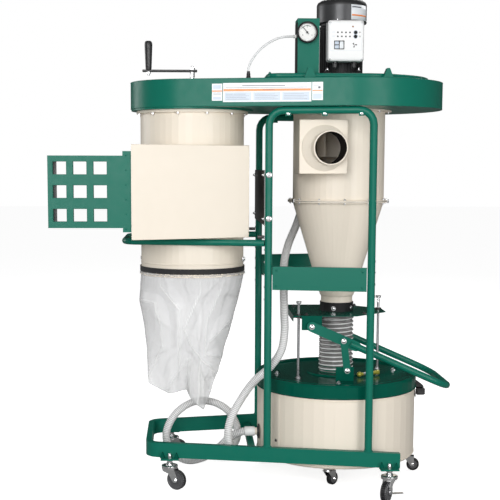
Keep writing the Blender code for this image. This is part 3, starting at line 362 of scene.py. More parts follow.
def whiten_folds(mat):
    """Film is whiter and less clear where the mesh's "fold" attribute is high: doubled film at the folds and the tail,
    and partly a painted highlight along the crease lines.
    """
    nt = mat.node_tree
    film = nt.nodes["Principled BSDF"]
    fold = node(nt, "Attribute")
    fold.attribute_name = "fold"
    plus = node(nt, "Math", {0: fold.outputs["Fac"], 1: 0.4, 2: film.inputs["Alpha"].links[0].from_socket})
    plus.operation = "MULTIPLY_ADD"
    plus.use_clamp = True
    wire(nt, plus.outputs[0], film.inputs["Alpha"])
    pale = node(nt, "Mix")
    pale.data_type = "RGBA"
    fill(nt, pale, {"Factor": fold.outputs["Fac"], "A": film.inputs["Base Color"].links[0].from_socket,
                    "B": (0.95, 0.95, 0.95, 1)})
    wire(nt, pale.outputs["Result"], film.inputs["Base Color"])


GREEN = finish("green_enamel", (0.004, 0.148, 0.101), 0.34, drift=0.05, grain=260.0, height=0.00012,
               specular=0.2)
# partly painted shade: a darker copy of the green paint; on the lid, lift plate and caster gussets it also stands in
# for the shade on them, and on the gauge dial it is a green print
DARK_GREEN_AND_SHADE = finish("green_gloss_and_painted_shade", (0.001, 0.085, 0.056), 0.17, drift=0.05, grain=200.0, height=0.0001,
                   specular=0.1)
BEIGE = finish("beige_powder_coat", (0.83, 0.752, 0.64), 0.42, drift=0.02, grain=520.0, height=0.0001)
BLACK_PAINT = finish("black_enamel", (0.014, 0.014, 0.015), 0.42, drift=0.2, grain=350.0, height=0.00015)
CAST_BLACK = finish("black_cast", (0.016, 0.016, 0.017), 0.55, drift=0.25, grain=700.0, height=0.0003)
COWL_GREY = finish("grey_metallic", (0.06, 0.061, 0.064), 0.36, metal=0.5, drift=0.06, grain=600.0)
WHITE_BOX = finish("white_plastic", (0.9, 0.9, 0.9), 0.38, drift=0.02, grain=800.0, height=0.00005)
BLACK_PLASTIC = finish("black_plastic", (0.018, 0.018, 0.019), 0.38, drift=0.15, grain=900.0,
                       height=0.00012)
GREY_PLASTIC = finish("grey_plastic", (0.085, 0.085, 0.09), 0.34, drift=0.12, grain=700.0, height=0.0001)
RUBBER = finish("black_rubber", (0.012, 0.012, 0.013), 0.55, drift=0.2, grain=600.0, height=0.0002,
                specular=0.25)
CHROME = finish("chrome", (0.92, 0.92, 0.93), 0.16, metal=1.0, drift=0.04, grain=300.0, height=0.00002)
ZINC = finish("zinc_steel", (0.66, 0.66, 0.67), 0.28, metal=1.0, drift=0.08, clouds=30.0, grain=900.0,
              height=0.00004)
STEEL = finish("drawn_steel", (0.58, 0.58, 0.6), 0.26, metal=1.0, drift=0.08, stretch=(1, 1, 0.04),
               grain=1500.0,
               height=0.00005)
ALUMINIUM = finish("cast_aluminium", (0.62, 0.62, 0.63), 0.42, metal=1.0, drift=0.06, grain=500.0,
                   height=0.0002)
CLEAR = finish("clear_tube", (0.86, 0.87, 0.88), 0.22, drift=0.02, alpha=(0.62, 0.92), height=0.00003)
# painted shade: the clear wall is dark grey for the shaded inside seen through it
HOSE_WALL_SHADED = finish("clear_hose_wall_painted_shade", (0.24, 0.235, 0.23), 0.14, drift=0.08, alpha=(0.66, 0.97),
                   height=0.0001)
# partly painted highlight: the wire's white is its coat and also stands in for the shine along its turns
HOSE_WIRE_SHEEN = finish("coated_wire_and_sheen", (0.86, 0.86, 0.86), 0.22, drift=0.04, grain=500.0, height=0.00003)
FILM = finish("clear_film", (0.7, 0.7, 0.71), 0.16, drift=0.05, clouds=7.0, grain=30.0, height=0.001,
              alpha=(0.34, 0.72), bump=0.25)
whiten_folds(FILM)
WEBBING = woven("black_webbing", (0.017, 0.017, 0.019), 0.0016)
PLEATS = finish("filter_media", (0.84, 0.84, 0.82), 0.9, drift=0.04, grain=1400.0, height=0.0002)
HOSE = finish("grey_hose", (0.84, 0.84, 0.84), 0.4, drift=0.04, grain=500.0, height=0.0001)
# painted shade: a darker grey for the hose's grooves, standing in for the shade in them
HOSE_GROOVE_SHADE = finish("hose_groove_painted_shade", (0.54, 0.54, 0.54), 0.6, drift=0.06, grain=500.0, height=0.0001)
LABEL = finish("label_white", (0.8, 0.83, 0.86), 0.3, drift=0.02, height=0.00002)
LABEL_PALE = finish("label_pale", (0.56, 0.64, 0.74), 0.3, drift=0.02, height=0.00002)
LABEL_INK = finish("label_ink", (0.1, 0.11, 0.13), 0.35, drift=0.05, height=0.00002)
ORANGE = finish("label_orange", (0.86, 0.26, 0.06), 0.3, drift=0.03, height=0.00002)
AMBER = finish("amber_lamp", (0.35, 0.13, 0.02), 0.15, drift=0.05, coat=0.6)
DIAL = finish("dial_white", (0.88, 0.88, 0.86), 0.4, drift=0.01, height=0.00002)
GLASS = finish("gauge_glass", (0.9, 0.9, 0.9), 0.03, drift=0.0, alpha=(0.05, 0.35), height=0.0)
# painted shade: a near-black finish for the inside of the inlet collar, where shade falls
SHADE = finish("inner_painted_shade", (0.012, 0.01, 0.009), 0.8, drift=0.1, grain=600.0, height=0.00005,
               specular=0.1)
OLIVE = finish("olive_brass", (0.42, 0.4, 0.06), 0.35, metal=0.4, drift=0.15, clouds=40.0)

NODE_FINISH = {
    "green_paint": GREEN, "beige_paint": BEIGE, "black_paint": BLACK_PAINT, "black_plastic": BLACK_PLASTIC,
    "black_rubber": RUBBER, "grey_plastic": GREY_PLASTIC, "grey_metal": COWL_GREY,
    "white_plastic": WHITE_BOX,
    "aluminium": ALUMINIUM, "chrome": CHROME, "steel": STEEL, "clear_plastic": CLEAR, "clear_film": FILM,
    "clear_hose": HOSE_WALL_SHADED, "black_strap": WEBBING, "filter_media": PLEATS, "grey_hose": HOSE,
}
for part in frame["record"]["subparts"]:
    mesh = NODE[part["node"]].data
    mesh.materials.clear()
    mesh.materials.append(NODE_FINISH[part["material_slot"]])
SLOT_OF = {made.name: slot for slot, made in NODE_FINISH.items()}
SLOT_OF.update({"zinc_steel": "steel", "green_gloss_and_painted_shade": "green_paint", "black_cast": "black_paint",
                "gauge_glass": "clear_plastic", "coated_wire_and_sheen": "clear_hose"})
# partly painted shade: the lid and lift plate take the darker green, partly their own tone and partly the shade on
# their tops
NODE["drum_lid"].data.materials[0] = DARK_GREEN_AND_SHADE
NODE["lift_plate"].data.materials[0] = DARK_GREEN_AND_SHADE
NODE["crank_shaft"].data.materials[0] = ZINC


# ------------------------------------------------------------ mesh builders
def lathe(bm, profile, steps, where, mat=0, close=False):
    """Turns (radius, height) points about the local z axis."""
    rings = []
    for r, z in profile:
        if r < 1e-7:
            rings.append([bm.verts.new(where @ Vector((0, 0, z)))])
            continue
        rings.append([bm.verts.new(where @ Vector((r * cos(tau * k / steps),
                                                   r * sin(tau * k / steps), z)))
                      for k in range(steps)])
    pairs = list(zip(rings, rings[1:]))
    if close:
        pairs.append((rings[-1], rings[0]))
    for a, b in pairs:
        for k in range(steps):
            j = (k + 1) % steps
            corners = [a[k % len(a)], a[j % len(a)], b[j % len(b)], b[k % len(b)]]
            unique = list(dict.fromkeys(corners))
            if len(unique) > 2:
                bm.faces.new(unique).material_index = mat


def disc(bm, where, r, thick, steps):
    """A washer-like disc standing on the local plane z = 0."""
    lathe(bm, [(0, 0), (r, 0), (r, thick), (0, thick)], steps, where)


def collar(bm, where, inner, outer, z0, z1, steps):
    """A square-cut ring about the local z axis."""
    lathe(bm, [(inner, z0), (outer, z0), (outer, z1), (inner, z1)], steps, where, close=True)


def block(bm, lo, hi, where=Matrix.Identity(4), bevel=0.0, mat=0):
    """A box between two corners of the local frame."""
    made = bmesh.ops.create_cube(bm, size=1.0)["verts"]
    size = [b - a for a, b in zip(lo, hi)]
    mid = [(a + b) / 2 for a, b in zip(lo, hi)]
    bmesh.ops.transform(bm, verts=made, matrix=Matrix.Translation(mid) @ Matrix.Diagonal((*size, 1)))
    faces = list({f for v in made for f in v.link_faces})
    if bevel:
        edges = list({e for f in faces for e in f.edges})
        cut = bmesh.ops.bevel(bm, geom=edges, offset=bevel, segments=2, affect="EDGES", profile=0.5)
        made = list({v for f in cut["faces"] for v in f.verts} | {v for v in made if v.is_valid})
        faces = list({f for v in made for f in v.link_faces})
    bmesh.ops.transform(bm, verts=made, matrix=where)
    for f in faces:
        if f.is_valid:
            f.material_index = mat


def sweep(bm, points, radii, sides, mat=0, caps=True, cyclic=False, first=None, last=None):
    """A tube along points; radii is one number or one for each point."""
    path = [Vector(p) for p in points]
    if not hasattr(radii, "__len__"):
        radii = [radii] * len(path)
    rings = []
    normal = None
    count = len(path)
    for i, p in enumerate(path):
        before = path[i - 1] if i or cyclic else path[0]
        after = path[(i + 1) % count] if i < count - 1 or cyclic else path[-1]
        tangent = (after - before).normalized()
        if i == 0 and first:
            tangent = Vector(first)
        if i == count - 1 and last:
            tangent = Vector(last)
        if normal is None:
            guess = Vector((0, 0, 1)) if abs(tangent.z) < 0.9 else Vector((0, 1, 0))
            normal = (guess - tangent * guess.dot(tangent)).normalized()
        else:
            normal = (normal - tangent * normal.dot(tangent)).normalized()
        other = tangent.cross(normal)
        rings.append([bm.verts.new(p + radii[i] * (cos(tau * k / sides) * normal
                                                   + sin(tau * k / sides) * other))
                      for k in range(sides)])
    pairs = list(zip(rings, rings[1:]))
    if cyclic:
        pairs.append((rings[-1], rings[0]))
    for a, b in pairs:
        for k in range(sides):
            j = (k + 1) % sides
            bm.faces.new((a[k], a[j], b[j], b[k])).material_index = mat
    if caps and not cyclic:
        bm.faces.new(list(reversed(rings[0]))).material_index = mat
        bm.faces.new(rings[-1]).material_index = mat


def hoop(bm, r, z, thick, sides=96):
    """A wire ring about the cyclone axis."""
    sweep(bm, [(CX + r * cos(tau * k / sides), r * sin(tau * k / sides), z) for k in range(sides)],
          thick, 8, cyclic=True)


def extrude(bm, outline, z0, z1, where=Matrix.Identity(4), mat=0):
    """A flat outline raised from z0 to z1 along the local z axis."""
    low = [bm.verts.new(where @ Vector((x, y, z0))) for x, y in outline]
    high = [bm.verts.new(where @ Vector((x, y, z1))) for x, y in outline]
    bm.faces.new(list(reversed(low))).material_index = mat
    bm.faces.new(high).material_index = mat
    for k in range(len(outline)):
        j = (k + 1) % len(outline)
        bm.faces.new((low[k], low[j], high[j], high[k])).material_index = mat


def hexagon(bm, where, across, z0, z1, mat=0):
    """A nut or bolt head, by its size across the flats."""
    r = across / sqrt(3)
    steps = [(r * 0.86, z0), (r, z0), (r, z1 - (z1 - z0) * 0.15), (r * 0.88, z1), (0, z1)]
    lathe(bm, steps, 6, where, mat)


def bolt(bm, where, across=0.01, mat=0, stud=True):
    """Flange washer, hex head and a rounded stud end, standing on the local plane z = 0."""
    lathe(bm, [(0, 0), (across * 0.95, 0), (across * 0.95, across * 0.1), (across * 0.72, across * 0.22),
               (0, across * 0.22)],
          18, where, mat)
    hexagon(bm, where, across, across * 0.18, across * 0.72, mat)
    if stud:
        shank = ((0.3, 0.7), (0.3, 0.9), (0.22, 0.98), (0, 1))
        lathe(bm, [(across * r, across * z) for r, z in shank], 10, where, mat)


def dome(bm, where, r, mat=0):
    """A pan-head screw with a small pit at its centre, standing on z = 0."""
    lathe(bm, [(0, 0), (r, 0), (r, r * 0.18), (r * 0.85, r * 0.42), (r * 0.5, r * 0.58),
               (r * 0.16, r * 0.6),
               (r * 0.12, r * 0.4), (0, r * 0.4)], 16, where, mat)


def piece(name, bm, body, mats, slot=None, angle=35.0):
    """A finished mesh on a body, in its own slot or the slot of its first material."""
    mats = mats if isinstance(mats, list) else [mats]
    slot = slot or SLOT_OF.get(mats[0].name)
    bmesh.ops.recalc_face_normals(bm, faces=bm.faces)
    data = bpy.data.meshes.new(name)
    bm.to_mesh(data)
    bm.free()
    data.polygons.foreach_set("use_smooth", [True] * len(data.polygons))
    data.set_sharp_from_angle(angle=radians(angle))
    for mat in mats:
        data.materials.append(mat)
    obj = bpy.data.objects.new(name, data)
    scene.collection.objects.link(obj)
    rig.ride(obj, body)
    if slot:
        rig.slot(obj, slot)
    return obj


def new():
    return bmesh.new()


def smooth_path(points, spacing):
    """Points every `spacing` along a smooth curve through the given points."""
    pts = [Vector(p) for p in points]
    fine = []
    for i in range(len(pts) - 1):
        p0 = pts[i - 1] if i else pts[0] * 2 - pts[1]
        p1 = pts[i]
        p2 = pts[i + 1]
        p3 = pts[i + 2] if i + 2 < len(pts) else pts[-1] * 2 - pts[-2]
        d1 = max((p2 - p1).length, 1e-6) ** 0.5
        d0 = max((p1 - p0).length, 1e-6) ** 0.5
        d2 = max((p3 - p2).length, 1e-6) ** 0.5
        m1 = (p2 - p1) + d1 * ((p1 - p0) / d0 - (p2 - p0) / (d0 + d1))
        m2 = (p2 - p1) + d1 * ((p3 - p2) / d2 - (p3 - p1) / (d1 + d2))
        for k in range(24):
            t = k / 24
            fine.append(p1 * (2 * t ** 3 - 3 * t ** 2 + 1) + m1 * (t ** 3 - 2 * t ** 2 + t)
                        + p2 * (-2 * t ** 3 + 3 * t ** 2) + m2 * (t ** 3 - t ** 2))
    fine.append(pts[-1])
    total = sum((b - a).length for a, b in zip(fine, fine[1:]))
    count = max(2, round(total / spacing))
    step = total / count
    out = [fine[0]]
    walked = 0.0
    target = step
    for a, b in zip(fine, fine[1:]):
        length = (b - a).length
        while walked + length >= target - 1e-9 and len(out) < count:
            out.append(a.lerp(b, (target - walked) / length))
            target += step
        walked += length
    out.append(fine[-1])
    return out


# ------------------------------------------------------------ cords: the vacuum hose and the gauge tube
def make_vacuum_hose():
    """From the housing's underside, round behind the drum casters, to the port in the drum wall."""
    route = [(HOSE_TOP[0], HOSE_TOP[1], HOSE_TOP[2] - 0.0003), (-0.1, 0.24, 1.38), (-0.1, 0.239, 1.31),
             (-0.103, 0.228, 1.19), (-0.115, 0.198, 1.07), (-0.145, 0.148, 0.985),
             (-0.185, 0.08, 0.905), (-0.208, 0.005, 0.835), (-0.215, -0.065, 0.75),
             (-0.218, -0.125, 0.665), (-0.22, -0.17, 0.585), (-0.235, -0.195, 0.52),
             (-0.275, -0.2, 0.462), (-0.335, -0.175, 0.4), (-0.385, -0.16, 0.325),
             (-0.422, -0.17, 0.255), (-0.434, -0.18, 0.195), (-0.428, -0.162, 0.152),
             (-0.418, -0.1, 0.126), (-0.402, -0.015, 0.118), (-0.388, 0.056, 0.13),
             (-0.388, 0.085, 0.165), (-0.425, 0.09, 0.229), (-0.495, 0.09, 0.266),
             (-0.575, 0.09, 0.26), (-0.645, 0.088, 0.205), (-0.675, 0.085, 0.125),
             (-0.65, 0.075, 0.062), (-0.59, 0.045, 0.035), (-0.52, 0.008, 0.058),
             (-0.465, -0.025, 0.105), (-0.41, -0.046, 0.16), (-0.362, PORT[1], PORT[2]),
             (-0.349, PORT[1], PORT[2]), (PORT[0] - 0.0003, PORT[1], PORT[2])]
    path = smooth_path([Vector(p) + Vector((CX, 0, 0)) for p in route], 0.0017)
    rib = (0.0002, 0.0002, 0.0016, 0.0018)
    radii = [HOSE_R - rib[i % 4] for i in range(len(path))]
    bm = new()
    sweep(bm, path, radii, 20, first=(0, 0, -1), last=(1, 0, 0))
    # painted shade: the faces in each groove take the darker grey
    for n, face in enumerate(bm.faces):
        if n // 20 % 4 in (1, 2):
            face.material_index = 1
    hose = piece("vacuum_hose_ribbed", bm, "machine", [HOSE, HOSE_GROOVE_SHADE], angle=80)
    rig.replaces(hose, "vacuum_hose")
    cuffs = new()
    sleeve = [(0.015, 0), (0.0182, 0), (0.0186, 0.002), (0.0186, 0.036), (0.0178, 0.04), (0.016, 0.04)]
    for end in (at(*HOSE_TOP) @ shift(0, 0, 0.012) @ aim((0, 0, -1)),
                at(*PORT) @ shift(0.012, 0, 0) @ aim((-1, 0, 0))):
        lathe(cuffs, sleeve, 28, end)
        for k in range(3):
            lathe(cuffs, [(0.0185, 0), (0.0194, 0.0008), (0.0194, 0.0022), (0.0185, 0.003)], 28,
                  end @ shift(0, 0, 0.008 + 0.008 * k))
    ends = piece("vacuum_hose_cuffs", cuffs, "machine", HOSE)
    length = sum((b - a).length for a, b in zip(path, path[1:]))
    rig.cord(hose, exit=tuple(path[0]), length=round(length, 2), diameter=2 * HOSE_R, far_end="object",
            stiffness="medium", lay="loose", path=[tuple(p) for p in path], with_pieces=[ends])
    return length


def make_gauge_tube():
    route = [(-0.1838, -0.15, 1.689), (-0.198, -0.15, 1.689), (-0.225, -0.155, 1.6875),
             (-0.262, -0.166, 1.677), (-0.313, -0.182, 1.644), (-0.346, -0.194, 1.605),
             (FITTING[0], FITTING[1], 1.57),
             (FITTING[0], FITTING[1], 1.545), (FITTING[0], FITTING[1], HOUSING_Z1 + 0.0003)]
    path = smooth_path([Vector(p) + Vector((CX, 0, 0)) for p in route], 0.005)
    bm = new()
    sweep(bm, path, TUBE_R, 16, first=(-1, 0, 0), last=(0, 0, -1))
    tube = piece("gauge_tube", bm, "machine", CLEAR, angle=80)
    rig.replaces(tube, "pressure_tube")
    length = sum((b - a).length for a, b in zip(path, path[1:]))
    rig.cord(tube, exit=tuple(path[0]), length=round(length, 3), diameter=2 * TUBE_R, far_end="object",
            stiffness="stiff", lay="hanging", path=[tuple(p) for p in path])
    return length


hose_length = make_vacuum_hose()
tube_length = make_gauge_tube()
print("cords: hose %.3f m, tube %.3f m" % (hose_length, tube_length))


# ------------------------------------------------------------ dust bag, flexible hose
# height, left reach and right reach of the bag about the canister axis
BAG = ((0.829, -BAG_R, BAG_R), (0.802, -BAG_R, BAG_R), (0.75, -0.207, 0.194), (0.69, -0.209, 0.178),
       (0.575, -0.191, 0.15), (0.493, -0.182, 0.124), (0.413, -0.178, 0.104), (0.378, -0.176, 0.087),
       (0.243, -0.176, 0.087))
# reach and height along the bag's bottom seam: a wide lobe at the left and a hanging tail
HEM = ((-0.176, 0.363), (-0.129, 0.334), (-0.097, 0.32), (-0.06, 0.326), (-0.024, 0.333), (-0.011, 0.303),
       (0.025, 0.269), (0.047, 0.251), (0.064, 0.288), (0.087, 0.378))
# the film's main folds, as reach and height seen from the front
FOLDS = (((-0.124, 0.815), (-0.124, 0.76), (-0.055, 0.674), (-0.055, 0.399)),
         ((0.123, 0.815), (0.123, 0.786), (0.083, 0.691), (0.058, 0.64), (0.046, 0.485)),
         ((0.026, 0.815), (0.026, 0.734), (-0.035, 0.597), (0.03, 0.468), (0.022, 0.27)),
         ((-0.197, 0.7), (-0.144, 0.7), (-0.116, 0.528), (-0.173, 0.399)),
         ((0.143, 0.61), (0.062, 0.545), (0.046, 0.494), (0.127, 0.459)),
         ((-0.015, 0.468), (-0.012, 0.296)), ((-0.1, 0.339), (-0.067, 0.399), (-0.019, 0.468)),
         ((0.085, 0.38), (0.07, 0.44), (0.03, 0.468)))


def between(table, z):
    """Reaches at height z, eased a little between the rows of a table that goes down."""
    for (z0, *a), (z1, *b) in zip(table, table[1:]):
        if z >= z1 or z1 == table[-1][0]:
            t = min(max((z0 - z) / (z0 - z1), 0.0), 1.0)
            t = t * t * (3 - 2 * t) * 0.4 + t * 0.6
            return [p + (q - p) * t for p, q in zip(a, b)]


def hem(u):
    """Height of the bag's bottom seam at u from the canister axis."""
    for (u0, z0), (u1, z1) in zip(HEM, HEM[1:]):
        if u <= u1:
            return z0 + (z1 - z0) * min(max((u - u0) / (u1 - u0), 0.0), 1.0)
    return HEM[-1][1]


def fold_gap(u, z):
    """Distance from the nearest fold line."""
    best = 1.0
    for line in FOLDS:
        for (u0, z0), (u1, z1) in zip(line, line[1:]):
            du, dz = u1 - u0, z1 - z0
            t = min(max(((u - u0) * du + (z - z0) * dz) / (du * du + dz * dz), 0.0), 1.0)
            best = min(best, hypot(u - u0 - du * t, z - z0 - dz * t))
    return best


def web(bm, rings):
    """Quads between closed rings, from the top ring down."""
    for a, b in zip(rings, rings[1:]):
        for k in range(len(a)):
            j = (k + 1) % len(a)
            bm.faces.new((a[k], b[k], b[j], a[j]))


def make_bag():
    """Gathered film from the band down to the hem: folds along FOLDS, broad dents and a flat tail."""
    sides, down = 240, 170
    top = 0.8245
    bm = new()
    fold_white_and_sheen = bm.verts.layers.float.new("fold")
    rings = []
    for i in range(down + 1):
        t = i / down
        ring = []
        for k in range(sides):
            a = tau * k / sides
            ca, sa = cos(a), sin(a)
            z = top + (hem(-0.0445 + 0.1315 * ca) - top) * t
            left, right = between(BAG, z)
            mid, half = (left + right) / 2, (right - left) / 2
            flat = min(max((t - 0.42) / 0.58, 0.0), 1.0) ** 1.5
            depth = half * (1.0 - 0.08 * min(t * 4, 1.0)) * (1 - flat) + 0.0035 * flat
            x, y = mid + half * ca, depth * sa
            grow = min(max((t - 0.035) / 0.16, 0.0), 1.0)
            wander = 0.006 * noise.noise(Vector((x * 14, z * 14, 5.0)))
            gap = fold_gap((x if sa < 0 else 0.8 * mid - x) + wander, z + wander)
            broad = noise.noise(Vector((ca * 1.6, sa * 1.6, z * 2.6 + 4.0)))
            inward = grow * (1 - 0.75 * ca ** 8) * (0.013 * min(gap / 0.042, 1.0) + 0.01 * max(0.0, broad))
            gather = (1 - grow) * 0.0016 * (0.5 + 0.5 * sin(46 * a + 3 * sin(5 * a)))
            pull = (inward * (1 - 0.55 * flat) + gather) / max(half, 0.02)
            x = mid + (x - mid) * (1 - pull)
            y *= 1 - pull
            if flat > 0.02:
                crease = 0.006 * max(0.0, 1 - gap / 0.012)
                y += flat * (0.008 * sin(9.0 * (x + 0.2) / 0.12 + 5 * z) - crease)
            vert = bm.verts.new((CX + CAN_U + x, y, z))
            # partly painted highlight: fold lines and the flat tail are whitened for doubled film and for the shine
            # along the creases
            tail = 0.75 * flat * max(0.0, 1.2 - abs(x - 0.008) / 0.05)
            vert[fold_white_and_sheen] = grow * max(0.0, 1 - gap / 0.0045) + tail
            ring.append(vert)
        rings.append(ring)
    web(bm, rings)
    last = rings[-1]
    for k in range(sides // 2):
        quad = [last[k], last[k + 1], last[sides - k - 1], last[(sides - k) % sides]]
        unique = list(dict.fromkeys(quad))
        if len(unique) > 2:
            bm.faces.new(unique)
    area = sum(f.calc_area() for f in bm.faces)
    bag = piece("dust_bag_film", bm, "machine", FILM, angle=180)
    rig.replaces(bag, "dust_bag")
    width = 2 * pi * BAG_R
    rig.sheet(bag, flat=(round(width, 3), round(area / width, 3)), held="hung", rests_on=["filter_canister"])
    print("bag: film %.3f m2, flat %.3f x %.3f m" % (area, width, area / width))
    skirt = new()
    rings = []
    for z, out in ((0.8095, 0.0006), (0.806, 0.003), (0.802, 0.0052)):
        ring = []
        for k in range(sides):
            a = tau * k / sides
            r = FRILL_R + out * (0.45 + 0.55 * sin(37 * a + 4 * sin(3 * a)))
            drop = 0.003 * (0.5 + 0.5 * sin(11 * a))
            ring.append(skirt.verts.new((CX + CAN_U + r * cos(a), r * sin(a), z - drop)))
        rings.append(ring)
    web(skirt, rings)
    frill_area = sum(f.calc_area() for f in skirt.faces)
    frill = piece("dust_bag_frill", skirt, "machine", FILM, angle=180)
    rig.sheet(frill, flat=(round(width, 3), max(round(frill_area / width, 4), 0.01)), held="gathered",
             rests_on=["filter_canister"])


def make_flex_hose():
    """A clear wall painted dark grey for the shade inside it, and a wire helix whose white also paints its highlights;
    both are squashed when the lid rises.
    """
    z0, z1 = 0.411, 0.6416
    turns = 14
    pitch = (z1 - z0) / turns
    wall = new()
    profile = []
    for k in range(turns):
        for f, r in ((0.0, 0.0664), (0.12, 0.0664), (0.3, 0.0628), (0.55, 0.0612), (0.8, 0.0628)):
            profile.append((r, z0 + (k + f) * pitch))
    profile.append((0.0664, z1))
    lathe(wall, profile, 56, at(0, 0, 0))
    hose = piece("flex_hose_wall", wall, "machine", HOSE_WALL_SHADED, angle=180)
    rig.replaces(hose, "flex_hose")
    coil = new()
    count = turns * 40
    line = [Vector((CX + 0.066 * cos(tau * i / 40), 0.066 * sin(tau * i / 40),
                    z0 + 0.0016 + (z1 - z0 - 0.0032) * i / count)) for i in range(count + 1)]
    sweep(coil, line, 0.0023, 8)
    helix = piece("flex_hose_wire", coil, "machine", HOSE_WIRE_SHEEN, angle=180)
    for part_of in (hose, helix):
        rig.squash(part_of, "lid_rise", axis=(0, 0, 1), anchor=(CX, 0, 0.6419),
                  keep=(0.2311 - 0.0605) / 0.2311)


make_bag()
make_flex_hose()


# ------------------------------------------------------------ motor, control box, gauge
def make_motor():
    bm = new()
    z0 = PLATE_TOP + 0.0003
    lathe(bm, [(0.012, z0), (0.094, z0), (0.0955, z0 + 0.0015), (0.0955, z0 + 0.012), (0.094, z0 + 0.0135),
               (0.077, z0 + 0.015), (0.074, z0 + 0.022), (0.074, MOTOR_TOP - 0.012),
               (0.079, MOTOR_TOP - 0.009),
               (0.0805, MOTOR_TOP - 0.002), (0.079, MOTOR_TOP), (0.012, MOTOR_TOP)], 72, at(MOTOR_U, 0, 0),
               close=True)
    for k in range(44):
        a = tau * (k + 0.5) / 44
        turn = at(MOTOR_U, 0, 0) @ spin(a)
        front = abs(remainder(a + pi / 2, tau)) < 0.6
        reach = 0.0795 if front else 0.083
        extrude(bm, [(0.073, -0.0011), (reach, -0.0007), (reach, 0.0007), (0.073, 0.0011)], z0 + 0.021,
                MOTOR_TOP - 0.011, turn)
    for k in range(4):
        turn = at(MOTOR_U, 0, 0) @ spin(tau * (k + 0.5) / 4)
        block(bm, (0.076, -0.011, z0 + 0.012), (0.089, 0.011, z0 + 0.03), turn, 0.002)
        block(bm, (0.074, -0.0065, MOTOR_TOP - 0.022), (0.085, 0.0065, MOTOR_TOP - 0.008), turn, 0.002)
    shell = piece("motor_shell", bm, "machine", CAST_BLACK, angle=30)
    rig.replaces(shell, "motor_body")
    screws = new()
    for k in range(4):
        turn = at(MOTOR_U, 0, z0 + 0.0302) @ spin(tau * (k + 0.5) / 4) @ shift(0.0832, 0, 0)
        bolt(screws, turn, 0.0085)
    for k in range(8):
        turn = at(MOTOR_U, 0, z0 + 0.0137) @ spin(tau * (k + 0.25) / 8) @ shift(0.0895, 0, 0)
        dome(screws, turn, 0.003)
    piece("motor_bolts", screws, "machine", ZINC)


def make_cowl():
    bm = new()
    low, top = MOTOR_TOP + 0.0004, MACHINE_TOP
    r = 0.0953
    lathe(bm, [(0.087, low), (r - 0.001, low), (r, low + 0.001), (r, top - 0.023)], 96, at(MOTOR_U, 0, 0),
          0)
    lathe(bm, [(r, top - 0.023), (r + 0.0002, top - 0.02), (r - 0.0008, top - 0.014),
               (r - 0.005, top - 0.0068),
               (r - 0.014, top - 0.0024), (r - 0.03, top - 0.0004), (0.042, top - 0.0002),
               (0.0415, top - 0.003),
               (0.012, top - 0.003), (0.01, top - 0.0006), (0, top - 0.0004)], 96, at(MOTOR_U, 0, 0), 1)
    lathe(bm, [(0.087, low), (0.087, low + 0.004), (0, low + 0.004)], 96, at(MOTOR_U, 0, 0), 1)
    for ring, count, length in ((0.05, 20, 0.012), (0.068, 28, 0.014)):
        for k in range(count):
            turn = at(MOTOR_U, 0, top - 0.0022) @ spin(tau * k / count)
            block(bm, (ring, -0.0012, 0), (ring + length, 0.0012, 0.0019), turn, 0.0004, 1)
    cowl = piece("fan_cowl_shell", bm, "machine", [COWL_GREY, BLACK_PAINT], angle=30)
    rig.replaces(cowl, "fan_cowl")
    bits = new()
    for k in range(4):
        a = -pi / 2 - 0.3 + tau * k / 4
        dome(bits, around(MOTOR_U, r, a, low + 0.006) @ aim((cos(a), sin(a), 0)), 0.003)
    piece("fan_cowl_screws", bits, "machine", CHROME)
    plate = new()
    steps = 18
    for mat, (z0, z1, a0, a1, out) in enumerate((
            (1.76, 1.816, -76, -24, 0.0004), (1.7745, 1.78, -74, -26, 0.0006), (1.805, 1.809, -74, -48, 0.0006))):
        for k in range(steps):
            corners = []
            for a, z in ((k, z0), (k + 1, z0), (k + 1, z1), (k, z1)):
                t = radians(a0 + (a1 - a0) * a / steps)
                corners.append(plate.verts.new((CX + MOTOR_U + (r + out) * cos(t), (r + out) * sin(t), z)))
            plate.faces.new(corners).material_index = mat
    bmesh.ops.remove_doubles(plate, verts=plate.verts, dist=1e-6)
    made = piece("cowl_plate", plate, "machine", [LABEL, ORANGE, LABEL_INK])
    skin = made.modifiers.new("thickness", "SOLIDIFY")
    skin.thickness = 0.0003
    skin.offset = 1.0


